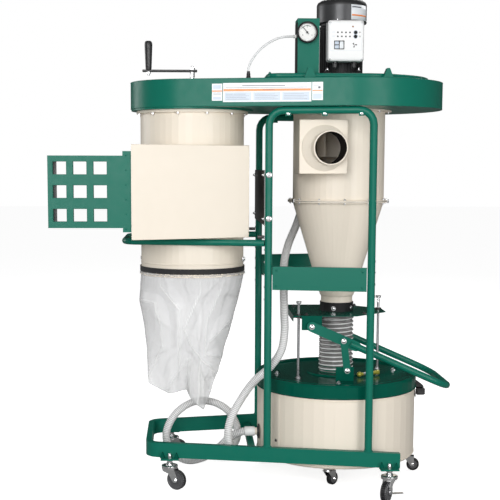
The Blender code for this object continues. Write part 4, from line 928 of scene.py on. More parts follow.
def make_control_front():
    bm = new()
    face = shift(CX, CONTROL_Y, 0) @ STAND

    def tile(u0, u1, z0, z1, lift, mat, bevel=0.0):
        block(bm, (u0, z0, -0.0002), (u1, z1, lift), face, bevel, mat)

    for z in (1.7396, 1.6396):
        tile(-0.056, 0.059, z, z + 0.0004, 0.0003, 1)
    for u in (-0.0562, 0.0588):
        tile(u, u + 0.0004, 1.6396, 1.74, 0.0003, 1)
    tile(-0.043, -0.005, 1.644, 1.676, 0.0004, 0, 0.0015)
    tile(-0.04, -0.025, 1.662, 1.673, 0.0007, 1, 0.001)
    tile(-0.04, -0.025, 1.647, 1.659, 0.0007, 1, 0.001)
    tile(-0.022, -0.008, 1.647, 1.673, 0.0007, 3, 0.001)
    for k in range(3):
        turn = face @ shift(0.033, 1.66, 0.0003) @ spin(tau * k / 3 + 0.3)
        extrude(bm, [(0.0015, -0.001), (0.008, -0.0035), (0.0095, 0.001), (0.002, 0.0018)], 0, 0.0005, turn)
    for k in range(4):
        for z in (1.706, 1.6912):
            lathe(bm, [(0, 0.0012), (0.0024, 0.001), (0.0031, 0), (0, 0)], 16,
                  face @ shift(-0.0295 + 0.015 * k, z, 0))
    for z in (1.706, 1.6912):
        for k in range(2):
            tile(-0.05, -0.04, z - 0.001 + 0.003 * k, z - 0.0004 + 0.003 * k, 0.0003, 1)
            tile(0.0485, 0.056, z - 0.0018 + 0.003 * k, z - 0.0006 + 0.003 * k, 0.0003, 0)
        lathe(bm, [(0.0067, 0), (0.0067, 0.0008), (0.0076, 0.001), (0.0082, 0), (0.0067, 0)], 28,
              face @ shift(0.0366, z, 0), 1)
    lathe(bm, [(0, 0.0032), (0.002, 0.0026), (0.0032, 0.001), (0.0034, 0), (0, 0)], 20,
          face @ shift(0.0263, 1.7272, 0), 2)
    piece("control_face_print", bm, "machine", [BLACK_PLASTIC, LABEL_PALE, AMBER, LABEL])
    screws = new()
    for u in (-0.0575, 0.0605):
        for z in (1.609, 1.743):
            dome(screws, face @ shift(u, z, 0.0002), 0.0036)
    piece("control_box_screws", screws, "machine", ZINC)
    seam = new()
    lo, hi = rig.box("control_box")
    ring = []
    w, h, r = (hi.x - lo.x) / 2 + 0.0004, (hi.z - lo.z) / 2 + 0.0004, 0.01
    mid = ((hi.x + lo.x) / 2, (hi.z + lo.z) / 2)
    for cx, cz, a0 in ((w - r, h - r, 0), (-w + r, h - r, 90), (-w + r, -h + r, 180), (w - r, -h + r, 270)):
        for k in range(6):
            a = radians(a0 + 90 * k / 5)
            ring.append((mid[0] + cx + r * cos(a), -0.131, mid[1] + cz + r * sin(a)))
    sweep(seam, ring, 0.0009, 6, cyclic=True)
    piece("control_box_gasket", seam, "machine", RUBBER)
    neck = new()
    block(neck, (CX - 0.025, -0.0838, 1.635), (CX + 0.028, -0.0735, 1.715), bevel=0.002)
    for u in (-0.034, 0.037):
        lathe(neck, [(0, 0), (0.0105, 0), (0.0105, 0.006), (0.0085, 0.0075), (0.0085, 0.02),
                     (0.006, 0.023), (0, 0.023)],
              18, at(u, -0.114, 1.6012) @ FLIP)
    piece("control_box_neck_and_glands", neck, "machine", BLACK_PLASTIC)


def make_gauge():
    u, y, z = GAUGE
    face = at(u, y, z) @ aim((0, -1, 0))
    dial = new()
    lathe(dial, [(0, 0.0101), (0.0324, 0.0101), (0.0324, 0.0104), (0, 0.0106)], 64, face, 0)
    for k in range(31):
        a = radians(-40 - 260 * k / 30 + 70)
        long = k % 5 == 0
        turn = face @ spin(a)
        block(dial, (0.0262 if long else 0.0282, -0.00045, 0.0104), (0.0306, 0.00045, 0.01085), turn, 0, 1)
    lathe(dial, [(0.031, 0.0104), (0.031, 0.0108), (0.0316, 0.0108), (0.0316, 0.0104)], 64, face, 1)
    for k in range(16):
        b0, b1 = (radians(60 + 90 * (k + f) / 16) for f in (0, 1))
        corners = [face @ Vector((r * cos(a), r * sin(a), 0.0107))
                   for r, a in ((0.0232, b0), (0.0232, b1), (0.0252, b1), (0.0252, b0))]
        dial.faces.new([dial.verts.new(c) for c in corners]).material_index = 2
    piece("gauge_dial", dial, "machine", [DIAL, LABEL_INK, DARK_GREEN_AND_SHADE])
    glass = new()
    lathe(glass, [(0.0326, 0.0196), (0.02, 0.0204), (0, 0.0208), (0, 0.02), (0.02, 0.0197),
                  (0.0326, 0.019)],
          64, face)
    piece("gauge_glass", glass, "machine", GLASS, angle=180)
    rim = new()
    lathe(rim, [(0.0328, 0.018), (0.0328, 0.0216), (0.0348, 0.0228), (0.0374, 0.0212), (0.0387, 0.0196),
                (0.0387, 0.014),
                (0.037, 0.013)], 64, face)
    for k in range(3):
        a = tau * k / 3 + pi / 6
        dome(rim, face @ shift(0.0355 * cos(a), 0.0355 * sin(a), 0.0222), 0.0016)
    piece("gauge_rim", rim, "machine", BLACK_PLASTIC)
    for n, v in enumerate((0, 2, 4)):
        curve = bpy.data.curves.new("dial_number_%d" % v, "FONT")
        curve.body = str(v)
        curve.size = 0.0085
        curve.align_x = "CENTER"
        curve.align_y = "CENTER"
        curve.extrude = 0.0001
        curve.materials.append(LABEL_INK)
        a = radians(210 - 120 * n)
        text = bpy.data.objects.new("dial_number_%d" % v, curve)
        centre = Vector((CX + u + 0.0195 * cos(a), y - 0.0108, z + 0.0195 * sin(a)))
        text.matrix_world = Matrix.Translation(centre) @ STAND
        scene.collection.objects.link(text)
        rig.ride(text, "machine")
    # a thin black sheet on the outer face of the bracket's left flange
    back = new()
    block(back, (CX - 0.1842, -0.1985, PLATE_TOP + 0.001), (CX - 0.1836, -0.1065, 1.736))
    piece("gauge_bracket_black_sheet", back, "machine", RUBBER)
    nipple = new()
    lathe(nipple, [(0.0044, 0), (0.007, 0), (0.007, 0.004), (0.0058, 0.005), (0.0058, 0.012),
                   (0.0044, 0.012)], 18,
          at(*GAUGE_PORT) @ aim((-1, 0, 0)), close=True)
    piece("gauge_tube_nipple", nipple, "machine", DIAL, "white_plastic")
    foot = new()
    for v in (-0.185, -0.125):
        bolt(foot, at(-0.176, v, PLATE_TOP + 0.0004), 0.008)
    piece("gauge_bracket_bolts", foot, "machine", ZINC)
    fit = new()
    base = at(FITTING[0], FITTING[1], HOUSING_Z1 + 0.0002)
    lathe(fit, [(0.0044, 0), (0.011, 0), (0.011, 0.002), (0.0085, 0.003), (0.0085, 0.01), (0.0072, 0.012),
                (0.0072, 0.02), (0.006, 0.024), (0.006, 0.03), (0.0044, 0.03)], 22, base, close=True)
    piece("tube_fitting", fit, "machine", BLACK_PLASTIC)


make_motor()
make_cowl()
make_control_front()
make_gauge()


# ------------------------------------------------------------ blower housing
def housing_line(grow):
    """The blower housing's outline, grown outward: two arcs and the straight sides between them."""
    lean = HOUSING_LEAN
    out = []
    for cu, r, a0, a1, n in ((HOUSING_UR, HOUSING_RR + grow, -pi / 2 - lean, pi / 2 + lean, 60),
                             (CAN_U, HOUSING_RL + grow, pi / 2 + lean, 1.5 * pi - lean, 40)):
        out += [(CX + cu + r * cos(a0 + (a1 - a0) * k / n), r * sin(a0 + (a1 - a0) * k / n))
                for k in range(n + 1)]
    return out


def make_housing_trim():
    bm = new()
    for z in (HOUSING_Z1 - 0.0012, HOUSING_Z0 + 0.0014):
        sweep(bm, [(x, y, z) for x, y in housing_line(-0.0005)], 0.0014, 8, cyclic=True)
    piece("housing_rolled_edges", bm, "machine", GREEN, angle=180)
    skin = new()
    low, high = ([skin.verts.new((x, y, z)) for x, y in housing_line(0.00008)]
                 for z in (HOUSING_Z0 + 0.001, HOUSING_Z1 - 0.001))
    for k in range(len(low)):
        n = (k + 1) % len(low)
        skin.faces.new((low[k], low[n], high[n], high[k]))
    piece("housing_skin", skin, "machine", GREEN, angle=180)
    bolts = new()
    for v in (-0.22, 0.0, 0.22):
        bolt(bolts, at(-0.286, v, PLATE_TOP + 0.0002), 0.009)
    piece("motor_plate_bolts", bolts, "machine", GREEN)
    labels = new()
    lean = HOUSING_LEAN
    across = Vector((cos(lean), -sin(lean), 0))
    out = Vector((-sin(lean), -cos(lean), 0))
    start = Vector((CX + CAN_U, 0, 0)) + out * HOUSING_RL
    face = Matrix((across, Vector((0, 0, 1)), out)).transposed().to_4x4()
    face.translation = start

    def tile(s0, s1, z0, z1, lift, mat):
        block(labels, (s0, z0, 0.0001), (s1, z1, lift), face, 0.0, mat)

    tile(0.1198, 0.1575, 1.4475, 1.508, 0.0005, 0)
    tile(0.124, 0.1532, 1.49, 1.503, 0.0008, 2)
    tile(0.1205, 0.1568, 1.4795, 1.484, 0.0008, 1)
    tile(0.125, 0.1522, 1.474, 1.4752, 0.0008, 3)
    tile(0.125, 0.1522, 1.469, 1.47, 0.0008, 3)
    tile(0.124, 0.1532, 1.451, 1.461, 0.0008, 2)
    tile(0.16, 0.479, 1.4425, 1.51, 0.0005, 0)
    tile(0.162, 0.477, 1.4805, 1.4885, 0.0008, 1)
    tile(0.305, 0.348, 1.4835, 1.4855, 0.001, 3)
    tile(0.23, 0.385, 1.4985, 1.501, 0.0008, 3)
    tile(0.17, 0.465, 1.4925, 1.4937, 0.0008, 3)
    for k in range(3):
        s0 = 0.166 + 0.1045 * k
        tile(s0, s0 + 0.0975, 1.447, 1.477, 0.0008, 2)
        for row in range(4):
            z = 1.452 + 0.0058 * row
            tile(s0 + 0.005, s0 + 0.09 - 0.013 * (row % 2), z, z + 0.0007, 0.001, 3)
    tile(0.4815, 0.52, 1.447, 1.5105, 0.0005, 0)
    tile(0.483, 0.5185, 1.479, 1.483, 0.0008, 1)
    tile(0.486, 0.506, 1.4985, 1.4995, 0.0008, 3)
    tile(0.503, 0.511, 1.488, 1.495, 0.0008, 3)
    tile(0.485, 0.516, 1.451, 1.47, 0.0008, 2)
    piece("housing_blank_plates", labels, "machine", [LABEL, ORANGE, LABEL_PALE, LABEL_INK])


make_housing_trim()


# ------------------------------------------------------------ crank, canister, exhaust box
def make_crank_parts():
    bm = new()
    disc(bm, at(CAN_U, 0, 1.5791), 0.0135, 0.0012, 24)
    hexagon(bm, at(CAN_U, 0, 1.5803), 0.017, 0, 0.009)
    lathe(bm, [(0, 0), (0.0052, 0), (0.0052, 0.003), (0.004, 0.0042), (0, 0.0042)], 16,
          at(CAN_U, 0, 1.5893))
    hexagon(bm, at(CAN_U - CRANK_ARM, 0, 1.5707) @ FLIP, 0.014, 0, 0.007)
    lathe(bm, [(0, 0), (0.0045, 0), (0.0045, 0.006), (0, 0.0066)], 14,
          at(CAN_U - CRANK_ARM, 0, 1.5637) @ FLIP)
    piece("crank_nuts", bm, "crank", ZINC)
    bearing = new()
    lathe(bearing, [(0.0104, 0), (0.029, 0), (0.029, 0.003), (0.018, 0.0045), (0.0165, 0.016),
                    (0.015, 0.017),
                    (0.0104, 0.017)], 32, at(CAN_U, 0, HOUSING_Z1 + 0.0002), close=True)
    for k in range(3):
        a = tau * k / 3 + 0.5
        dome(bearing, around(CAN_U, 0.0235, a, HOUSING_Z1 + 0.0033), 0.003)
    piece("crank_bearing", bearing, "machine", ZINC)
    grip = new()
    lathe(grip, [(0.0108, 1.5796), (0.0117, 1.585), (0.015, 1.67), (0.0148, 1.676), (0.0137, 1.6822),
                 (0.012, 1.685), (0.0092, 1.6868), (0, 1.6872)], 40, at(CAN_U - CRANK_ARM, 0, 0))
    piece("crank_grip_shell", grip, "grip", BLACK_PLASTIC)


def make_canister_trim():
    bm = new()
    for k in range(12):
        a = tau * (k + 0.5) / 12
        under = around(CAN_U, 0.2075, a, CAN_TOP - 0.0107) @ FLIP
        bolt(bm, under, 0.008)
    piece("canister_flange_bolts", bm, "machine", ZINC)
    rim = new()
    lathe(rim, [(CAN_FLANGE_R - 0.0006, CAN_TOP - 0.01), (CAN_FLANGE_R + 0.0006, CAN_TOP - 0.008),
                (CAN_FLANGE_R + 0.0006, CAN_TOP - 0.0012), (CAN_FLANGE_R - 0.001, CAN_TOP + 0.0001)], 96,
                at(CAN_U, 0, 0))
    piece("canister_flange_edge", rim, "machine", BEIGE)
    seam = new()
    lathe(seam, [(CAN_R - 0.0005, 0.842), (CAN_R + 0.0016, 0.8445), (CAN_R + 0.0016, 0.847),
                 (CAN_R - 0.0005, 0.8495)],
          96, at(CAN_U, 0, 0))
    turn = at(CAN_U, 0, 0) @ spin(radians(97))
    block(seam, (CAN_R - 0.0006, -0.006, 0.808), (CAN_R + 0.0009, 0.006, 1.4085), turn, 0.0004)
    piece("canister_seams", seam, "machine", BEIGE)
    latch = new()
    for a in (-12, 168):
        turn = at(CAN_U, 0, 0) @ spin(radians(a))
        block(latch, (CAN_R + 0.0004, -0.017, 0.847), (CAN_R + 0.003, 0.017, 0.864), turn, 0.0008)
        block(latch, (CAN_R + 0.0028, -0.012, 0.85), (CAN_R + 0.0085, 0.005, 0.862), turn, 0.0012)
        block(latch, (CAN_R + 0.005, -0.03, 0.853), (CAN_R + 0.0075, -0.01, 0.859), turn, 0.0008)
        for s in (-0.013, 0.013):
            dome(latch, turn @ shift(CAN_R + 0.003, s, 0.856) @ aim((1, 0, 0)), 0.0022)
    lip = new()
    lathe(lip, [(0.2022, 0.7985), (0.204, 0.7985), (0.2046, 0.7995), (0.2046, 0.8022), (0.2036, 0.8032),
                (0.2022, 0.8032)], 128,
          at(CAN_U, 0, 0), close=True)
    piece("canister_lip", lip, "machine", BEIGE)
    piece("canister_latches", latch, "machine", ZINC)
    buckle = new()
    turn = at(CAN_U, 0, 0) @ spin(radians(38))
    block(buckle, (0.2044, -0.019, 0.807), (0.2075, 0.019, 0.834), turn, 0.001)
    block(buckle, (0.207, -0.014, 0.811), (0.2105, 0.017, 0.83), turn, 0.0012)
    block(buckle, (0.2046, 0.016, 0.8125), (0.2062, 0.085, 0.8285), turn, 0.0004)
    piece("bag_band_buckle", buckle, "machine", BLACK_PLASTIC)


def make_exhaust_trim():
    turn = at(CAN_U, 0, 0) @ spin(BOX_TURN)
    bm = new()
    for z in (0.9515, 1.288):
        sweep(bm, [turn @ Vector((s, -0.27, z)) for s in (-0.3294, 0.1226)], 0.001, 8)
    sweep(bm, [turn @ Vector((0.1226, -0.27, z)) for z in (0.9515, 1.288)], 0.001, 8)
    piece("exhaust_box_folds", bm, "machine", BEIGE, angle=180)
    rivets = new()
    for k in range(6):
        z = 0.99 + 0.052 * k
        dome(rivets, at(-0.804, -0.3596, z) @ aim((0, -1, 0)), 0.003)
    piece("grille_rivets", rivets, "machine", GREEN)
    hems = new()
    u0, y0, z0 = -1.08, -0.36, 0.993
    for i in range(3):
        for k in range(3):
            wu, wz = u0 + 0.0165 + 0.0715 * i, z0 + 0.0215 + 0.0835 * k
            for x0, x1, low, high in ((0, 0.0505, 0.0462, 0.048), (0, 0.0505, 0, 0.0016),
                                      (0, 0.0016, 0.0016, 0.0462), (0.0489, 0.0505, 0.0016, 0.0462)):
                block(hems, (CX + wu + x0, y0 + 0.0024, wz + low), (CX + wu + x1, y0 + 0.02, wz + high))
    piece("grille_window_hems", hems, "machine", GREEN)
    # painted shade: a thin black sheet behind the first column of windows stands in for the shaded inner face of the
    # grille's left wall
    back = new()
    block(back, (CX + u0 + 0.0181, y0 + 0.0202, z0 + 0.018), (CX + u0 + 0.03, y0 + 0.0212, z0 + 0.242))
    piece("grille_side_painted_shade", back, "machine", BLACK_PAINT)


make_crank_parts()
make_canister_trim()
make_exhaust_trim()


# ------------------------------------------------------------ frame
def post_y(u):
    """Distance of a post at u from the middle plane."""
    return side_y(u) - 0.013


def make_frame_parts():
    plate = new()
    y = post_y(POST_UL)
    u = POST_UL - POST_R - 0.0006
    block(plate, (CX + u - 0.0025, -y, 0.999), (CX + u, y, 1.199), bevel=0.0006)
    piece("side_plate", plate, "machine", BLACK_PAINT)
    big = new()
    for sign, zs in ((-1, (1.1814, 1.0226)), (1, (1.178, 1.021))):
        for z in zs:
            way = (0, sign, 0)
            bolt(big, at(POST_UL, sign * (y + POST_R - 0.0004), z) @ aim(way), 0.0115)
            bolt(big, at(u - 0.0026, sign * (y - 0.004), z) @ aim((-1, 0, 0)), 0.0085)
    small = new()
    for k in range(7):
        z = 1.0 - 0.0455 * k
        dome(small, at(POST_UL - POST_R + 0.0004, -y,
                       z - (0.0 if abs(z - 0.9331) > 0.018 else 0.03)) @ aim((-1, 0, 0)), 0.0042)
    for z in (0.964, 0.8806, 0.8348, 0.793, 0.7428):
        dome(small, at(POST_UL - POST_R + 0.0004, y, z) @ aim((-1, 0, 0)), 0.0042)
    for z in (0.8728, 0.8327, 0.789, 0.7451):
        for sign in (-1, 1):
            dome(small, at(POST_UR + POST_R - 0.0004, sign * post_y(POST_UR), z) @ aim((1, 0, 0)), 0.0042)
    for uu in (-0.224, -0.095, 0.033):
        for sign in (-1, 1):
            bolt(small, at(uu, sign * (post_y(uu) + 0.008), 1.401) @ aim((0, sign, 0)), 0.0068, stud=False)
            block(small, (CX + uu - 0.01, sign * (post_y(uu) + 0.003) - 0.003, 1.392),
                  (CX + uu + 0.01, sign * (post_y(uu) + 0.003) + 0.003, 1.404), bevel=0.0008, mat=1)
    piece("post_bolts", big, "machine", ZINC)
    piece("panel_bolts", small, "machine", [ZINC, GREEN])
    clamp = new()
    for sign in (-1, 1):
        block(clamp, (CX + POST_UL - 0.04, sign * y - 0.006, 0.95),
              (CX + POST_UL - 0.015, sign * y + 0.006, 0.962), bevel=0.002)
    piece("handle_clamps", clamp, "machine", BLACK_PLASTIC)
    feet = new()
    for sign in (-1, 1):
        for pu in (POST_UL, POST_UR):
            yy = sign * post_y(pu)
            lathe(feet, [(0.0142, 0.0004), (0.0185, 0.0004), (0.017, 0.003), (0.0142, 0.006)], 24,
                  at(pu, yy, RAIL_Z1), close=True)
        for pu in (-0.262, 0.045):
            for z in (0.776, 0.835):
                dome(feet, at(pu, sign * (side_y(pu) - 0.0034), z) @ aim((-0.198, sign, 0)), 0.004)
    piece("post_welds", feet, "machine", GREEN)


CASTERS = (("front_right", 0.15, -1, (-0.5, -0.87)), ("front_left", -0.655, -1, (0.87, -0.5)),
           ("rear_right", 0.15, 1, (-0.5, 0.87)), ("rear_left", -0.655, 1, (0.87, 0.5)))


def make_casters():
    mounts, heads = new(), new()
    for label, u, sign, trail in CASTERS:
        v = sign * (side_y(u) + 0.009)
        face_turn = atan(FRAME_T) * sign
        for off in (-0.026, 0.026):
            where = at(u + off, sign * side_y(u + off), RAIL_Z0 - 0.0002) @ spin(face_turn)
            outline = [(-0.0095, 0.0), (0.0095, 0.0), (0.0012, 0.022), (-0.0012, 0.022)]
            near, far = (0.0004, 0.013) if sign < 0 else (-0.013, -0.0004)
            extrude(mounts, outline, near, far, where @ STAND)
        lathe(heads, [(0, 0), (0.0092, 0), (0.0092, 0.002), (0.0078, 0.003), (0.0078, 0.01),
                      (0.0066, 0.016),
                      (0.004, 0.0195), (0, 0.0205)], 24, at(u, v, RAIL_Z0 + 0.0012))
        turn = at(u, v, 0) @ spin(atan2(trail[1], trail[0]))
        head = new()
        lathe(head, [(0.0092, 0.0938), (0.0135, 0.0938), (0.014, 0.0946), (0.014, 0.0975), (0.012, 0.0992),
                     (0.0092, 0.0994)],
              36, turn)
        lathe(head, [(0.0297, 0.0858), (0.0306, 0.0862), (0.031, 0.088), (0.0306, 0.0898),
                     (0.0297, 0.0904)], 48, turn)
        lathe(head, [(0.0292, 0.0788), (0.03, 0.0794), (0.0303, 0.0812), (0.03, 0.0832), (0.029, 0.0838)],
              48, turn)
        hexagon(head, turn @ shift(0, 0, 0.1035), 0.021, 0, 0.0055)
        for side in (-1, 1):
            axle = turn @ shift(WHEEL_TRAIL, side * 0.0157, WHEEL_R) @ aim((0, side, 0))
            disc(head, axle, 0.0088, 0.0012, 24)
            hexagon(head, axle, 0.012, 0.001, 0.0058)
        piece("caster_head_" + label, head, "swivel_" + label, CHROME)
        tread = new()
        hub = turn @ shift(WHEEL_TRAIL, 0, WHEEL_R) @ aim((0, 1, 0))
        lathe(tread, [(0.0347, -0.0118), (WHEEL_R - 0.0003, -0.008), (WHEEL_R, -0.006), (WHEEL_R, 0.006),
                      (WHEEL_R - 0.0003, 0.008), (0.0347, 0.0118)], 64, hub)
        for side in (-1, 1):
            face = hub if side > 0 else hub @ FLIP
            lathe(tread, [(0.0132, 0.01), (0.014, 0.0112), (0.0152, 0.0112), (0.016, 0.01)], 40, face, 1)
            for k in range(6):
                block(tread, (0.0158, -0.0012, 0.0096), (0.0272, 0.0012, 0.0108),
                      face @ spin(tau * k / 6), 0.0003, 1)
        piece("caster_tread_" + label, tread, "wheel_" + label, [RUBBER, GREY_PLASTIC], "grey_plastic")
    # painted shade: the caster gussets take the darker green for the shade under the rails
    piece("caster_gussets", mounts, "machine", DARK_GREEN_AND_SHADE)
    piece("caster_stem_heads", heads, "machine", CHROME)


DRUM_CASTERS = (("front", (-0.0525, -0.202), (0.75, 0.66)), ("right", (0.292, 0.01), (0.98, -0.2)),
                ("rear", (-0.17, 0.19), (-0.45, 0.89)))


def make_drum_casters():
    for label, pivot, trail in DRUM_CASTERS:
        yaw = atan2(trail[1], trail[0])
        turn = at(pivot[0], pivot[1], 0) @ spin(yaw)
        bm = new()
        lathe(bm, [(0.0112, 0.064), (0.019, 0.0645), (0.0205, 0.067), (0.0205, 0.07), (0.018, 0.072),
                   (0.0112, 0.0725)],
              36, turn)
        lathe(bm, [(0.0112, 0.0755), (0.017, 0.0758), (0.017, 0.0775), (0.0112, 0.0778)], 36, turn)
        lathe(bm, [(0.0112, 0.0886), (0.0165, 0.0886), (0.0172, 0.0894), (0.0172, 0.0912),
                   (0.0112, 0.0912)], 36, turn)
        for sign in (-1, 1):
            nut = turn @ shift(SMALL_TRAIL, sign * 0.0151, SMALL_R) @ aim((0, sign, 0))
            hexagon(bm, nut, 0.009, 0, 0.0045)
        piece("drum_caster_ring_" + label, bm, "drum_swivel_" + label, CHROME)
        hub = new()
        for sign in (-1, 1):
            lathe(hub, [(0.0178, 0.0096), (0.0165, 0.0108), (0.007, 0.0112), (0.005, 0.0118), (0, 0.0118)],
                  32, turn @ shift(SMALL_TRAIL, 0, SMALL_R) @ aim((0, sign, 0)))
        piece("drum_wheel_hub_" + label, hub, "drum_roller_" + label, GREY_PLASTIC, "black_rubber")


make_frame_parts()
make_casters()
make_drum_casters()


# ------------------------------------------------------------ cyclone and inlet
def make_cyclone_parts():
    bolts = new()
    for k in range(12):
        a = radians(-90 + 30 * k)
        bolt(bolts, around(0, 0.1862, a, JOINT_Z + 0.0047), 0.0066)
        bolt(bolts, around(0, 0.1862, a, JOINT_Z - 0.005) @ FLIP, 0.0066)
    piece("cyclone_joint_bolts", bolts, "machine", ZINC)
    trim = new()
    lathe(trim, [(CYC_R + 0.0003, 1.42), (0.199, 1.42), (0.2, 1.4212), (0.2, 1.4258), (0.199, 1.4268),
                 (CYC_R + 0.0003, 1.4268)], 96, at(0, 0, 0), close=True)
    for z in (1.4185, 1.087):
        hoop(trim, CYC_R + 0.0004, z, 0.0017)
    turn = at(0, 0, 0) @ spin(radians(75))
    block(trim, (CYC_R - 0.0006, -0.0035, 1.087), (CYC_R + 0.001, 0.0035, 1.419), turn, 0.0004)
    piece("cyclone_trim", trim, "machine", BEIGE)
    top = new()
    for k in range(12):
        a = radians(-75 + 30 * k)
        bolt(top, around(0, 0.1885, a, 1.4199) @ FLIP, 0.007)
    piece("cyclone_top_bolts", top, "machine", ZINC)
    gasket = new()
    collar(gasket, at(0, 0, 0), 0.1766, 0.1962, JOINT_Z - 0.0006, JOINT_Z + 0.0006, 96)
    piece("cyclone_gasket", gasket, "machine", RUBBER)
    clamps = new()
    for a in (-158, -22, 22, 158):
        turn = at(0, 0, 0) @ spin(radians(a))
        block(clamps, (0.185, -0.007, 1.0856), (0.1985, 0.007, 1.088), turn, 0.0006)
        block(clamps, (0.196, -0.007, 1.074), (0.1985, 0.007, 1.088), turn, 0.0006)
    piece("cyclone_clamps", clamps, "machine", ZINC)
    cuff = new()
    for a, z in ((-108, 0.664), (-38, 0.666), (72, 0.664), (142, 0.666)):
        turn = at(0, 0, z) @ spin(radians(a)) @ shift(0.0652, 0, 0) @ aim((1, 0, 0))
        lathe(cuff, [(0, 0), (0.0085, 0), (0.0085, 0.001), (0, 0.0012)], 24, turn)
        dome(cuff, turn, 0.0072)
    piece("outlet_cuff_screws", cuff, "machine", ZINC)
    lip = new()
    lathe(lip, [(0.065, 0.642), (0.0668, 0.6424), (0.0668, 0.6444), (0.0656, 0.6452)], 64, at(0, 0, 0))
    lathe(lip, [(0.065, 0.6835), (0.0664, 0.684), (0.066, 0.6862), (0.0625, 0.6866)], 64, at(0, 0, 0))
    piece("outlet_cuff_lips", lip, "machine", RUBBER)


def make_inlet_parts():
    """The round collar leans, so its rings stand on a sheared frame."""
    bm = new()
    depth = COLLAR_Y - COLLAR_END
    lean = Matrix.Identity(4)
    lean[0][1] = -COLLAR_LEAN
    frame_at = at(-0.086, COLLAR_Y, 1.28) @ lean @ aim((0, -1, 0))
    lathe(bm, [(0.0608, depth - 0.0065), (0.0622, depth - 0.0055), (0.0628, depth - 0.003),
               (0.0622, depth - 0.0006),
               (0.0608, depth - 0.0002)], 72, frame_at)
    for r, z, thick in ((0.0832, 0.0012, 0.0014), (0.064, 0.0203, 0.0012)):
        bead = ((-1, -1), (0.4, -0.6), (0.4, 0.6), (-1, 1))
        lathe(bm, [(r + thick * p, z + thick * q) for p, q in bead], 72, frame_at)
    piece("inlet_collar_beads", bm, "machine", BEIGE)
    # painted shade: a near-black sleeve inside the collar stands in for the shade in its mouth
    lining = new()
    lathe(lining, [(0.0584, depth - 0.001), (0.0582, depth - 0.0025), (0.0582, 0.0012)], 72, frame_at)
    piece("inlet_painted_shade_lining", lining, "machine", SHADE, angle=180)
    weld = new()
    lo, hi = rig.box("inlet_box")
    for z in (lo.z, hi.z):
        sweep(weld, [(lo.x + 0.001, lo.y, z), (hi.x - 0.001, lo.y, z)], 0.001, 8)
    for x in (lo.x, hi.x):
        sweep(weld, [(x, lo.y, lo.z + 0.001), (x, lo.y, hi.z - 0.001)], 0.001, 8)
    piece("inlet_box_folds", weld, "machine", BEIGE, angle=180)


make_cyclone_parts()
make_inlet_parts()


# ------------------------------------------------------------ lid lift and drum
def make_lift_parts():
    for name, u, z, body in (("pivot", -0.117, 0.61, "machine"), ("link", 0.004, 0.556, "lever"),
                             ("lug", 0.019, 0.442, "lid")):
        bm = new()
        face = 0.1828 if name == "pivot" else ARM_FACE + 0.0001
        inner = {"pivot": 0.1676, "link": 0.1772, "lug": 0.178}[name]
        for sign in (-1, 1):
            where = at(u, sign * face, z) @ aim((0, sign, 0))
            disc(bm, where, 0.0105, 0.0012, 28)
            lathe(bm, [(0.0078, 0.001), (0.0078, 0.0028), (0.0066, 0.0062), (0.004, 0.0078), (0, 0.0082)],
                  24, where)
            hexagon(bm, at(u, sign * inner, z) @ aim((0, -sign, 0)), 0.012, 0, 0.0075)
            lathe(bm, [(0.0038, 0), (0.0038, face - inner)], 12, at(u, sign * inner, z) @ aim((0, sign, 0)))
        piece("lift_%s_pins" % name, bm, body, CHROME)


def make_rod_parts():
    bm = new()
    for u, v in RODS:
        base = at(u, v, 0)
        collar(bm, base, 0.0052, 0.012, 0.4095, 0.411, 24)
        hexagon(bm, at(u, v, 0.411), 0.013, 0, 0.0065)
        lathe(bm, [(0.01, 0.7016), (0.011, 0.7016), (0.011, 0.7036), (0.01, 0.7046), (0, 0.7046)], 24, base)
        for k in range(16):
            z = 0.42 + 0.0022 * k
            lathe(bm, [(0.0049, z - 0.0007), (0.0055, z), (0.0049, z + 0.0007)], 14, base)
    for z in (0.688, 0.679):
        hexagon(bm, at(*RODS[1], z), 0.0105, 0, 0.006)
    piece("guide_rod_nuts", bm, "lid", ZINC)
    bush = new()
    for u, v in RODS:
        lathe(bush, [(0.0056, 0.6414), (0.0115, 0.6414), (0.0115, 0.6478), (0.0071, 0.6478),
                     (0.0071, 0.6512), (0.0115, 0.6512),
                     (0.0115, 0.656), (0.0056, 0.656)], 24, at(u, v, 0), close=True)
    for u, v in ((-0.16, 0.1), (0.09, -0.125), (0.09, 0.125), (-0.135, -0.15)):
        bolt(bush, at(u, v, 0.6512), 0.0095)
    piece("lift_plate_bushes", bush, "machine", BLACK_PLASTIC)


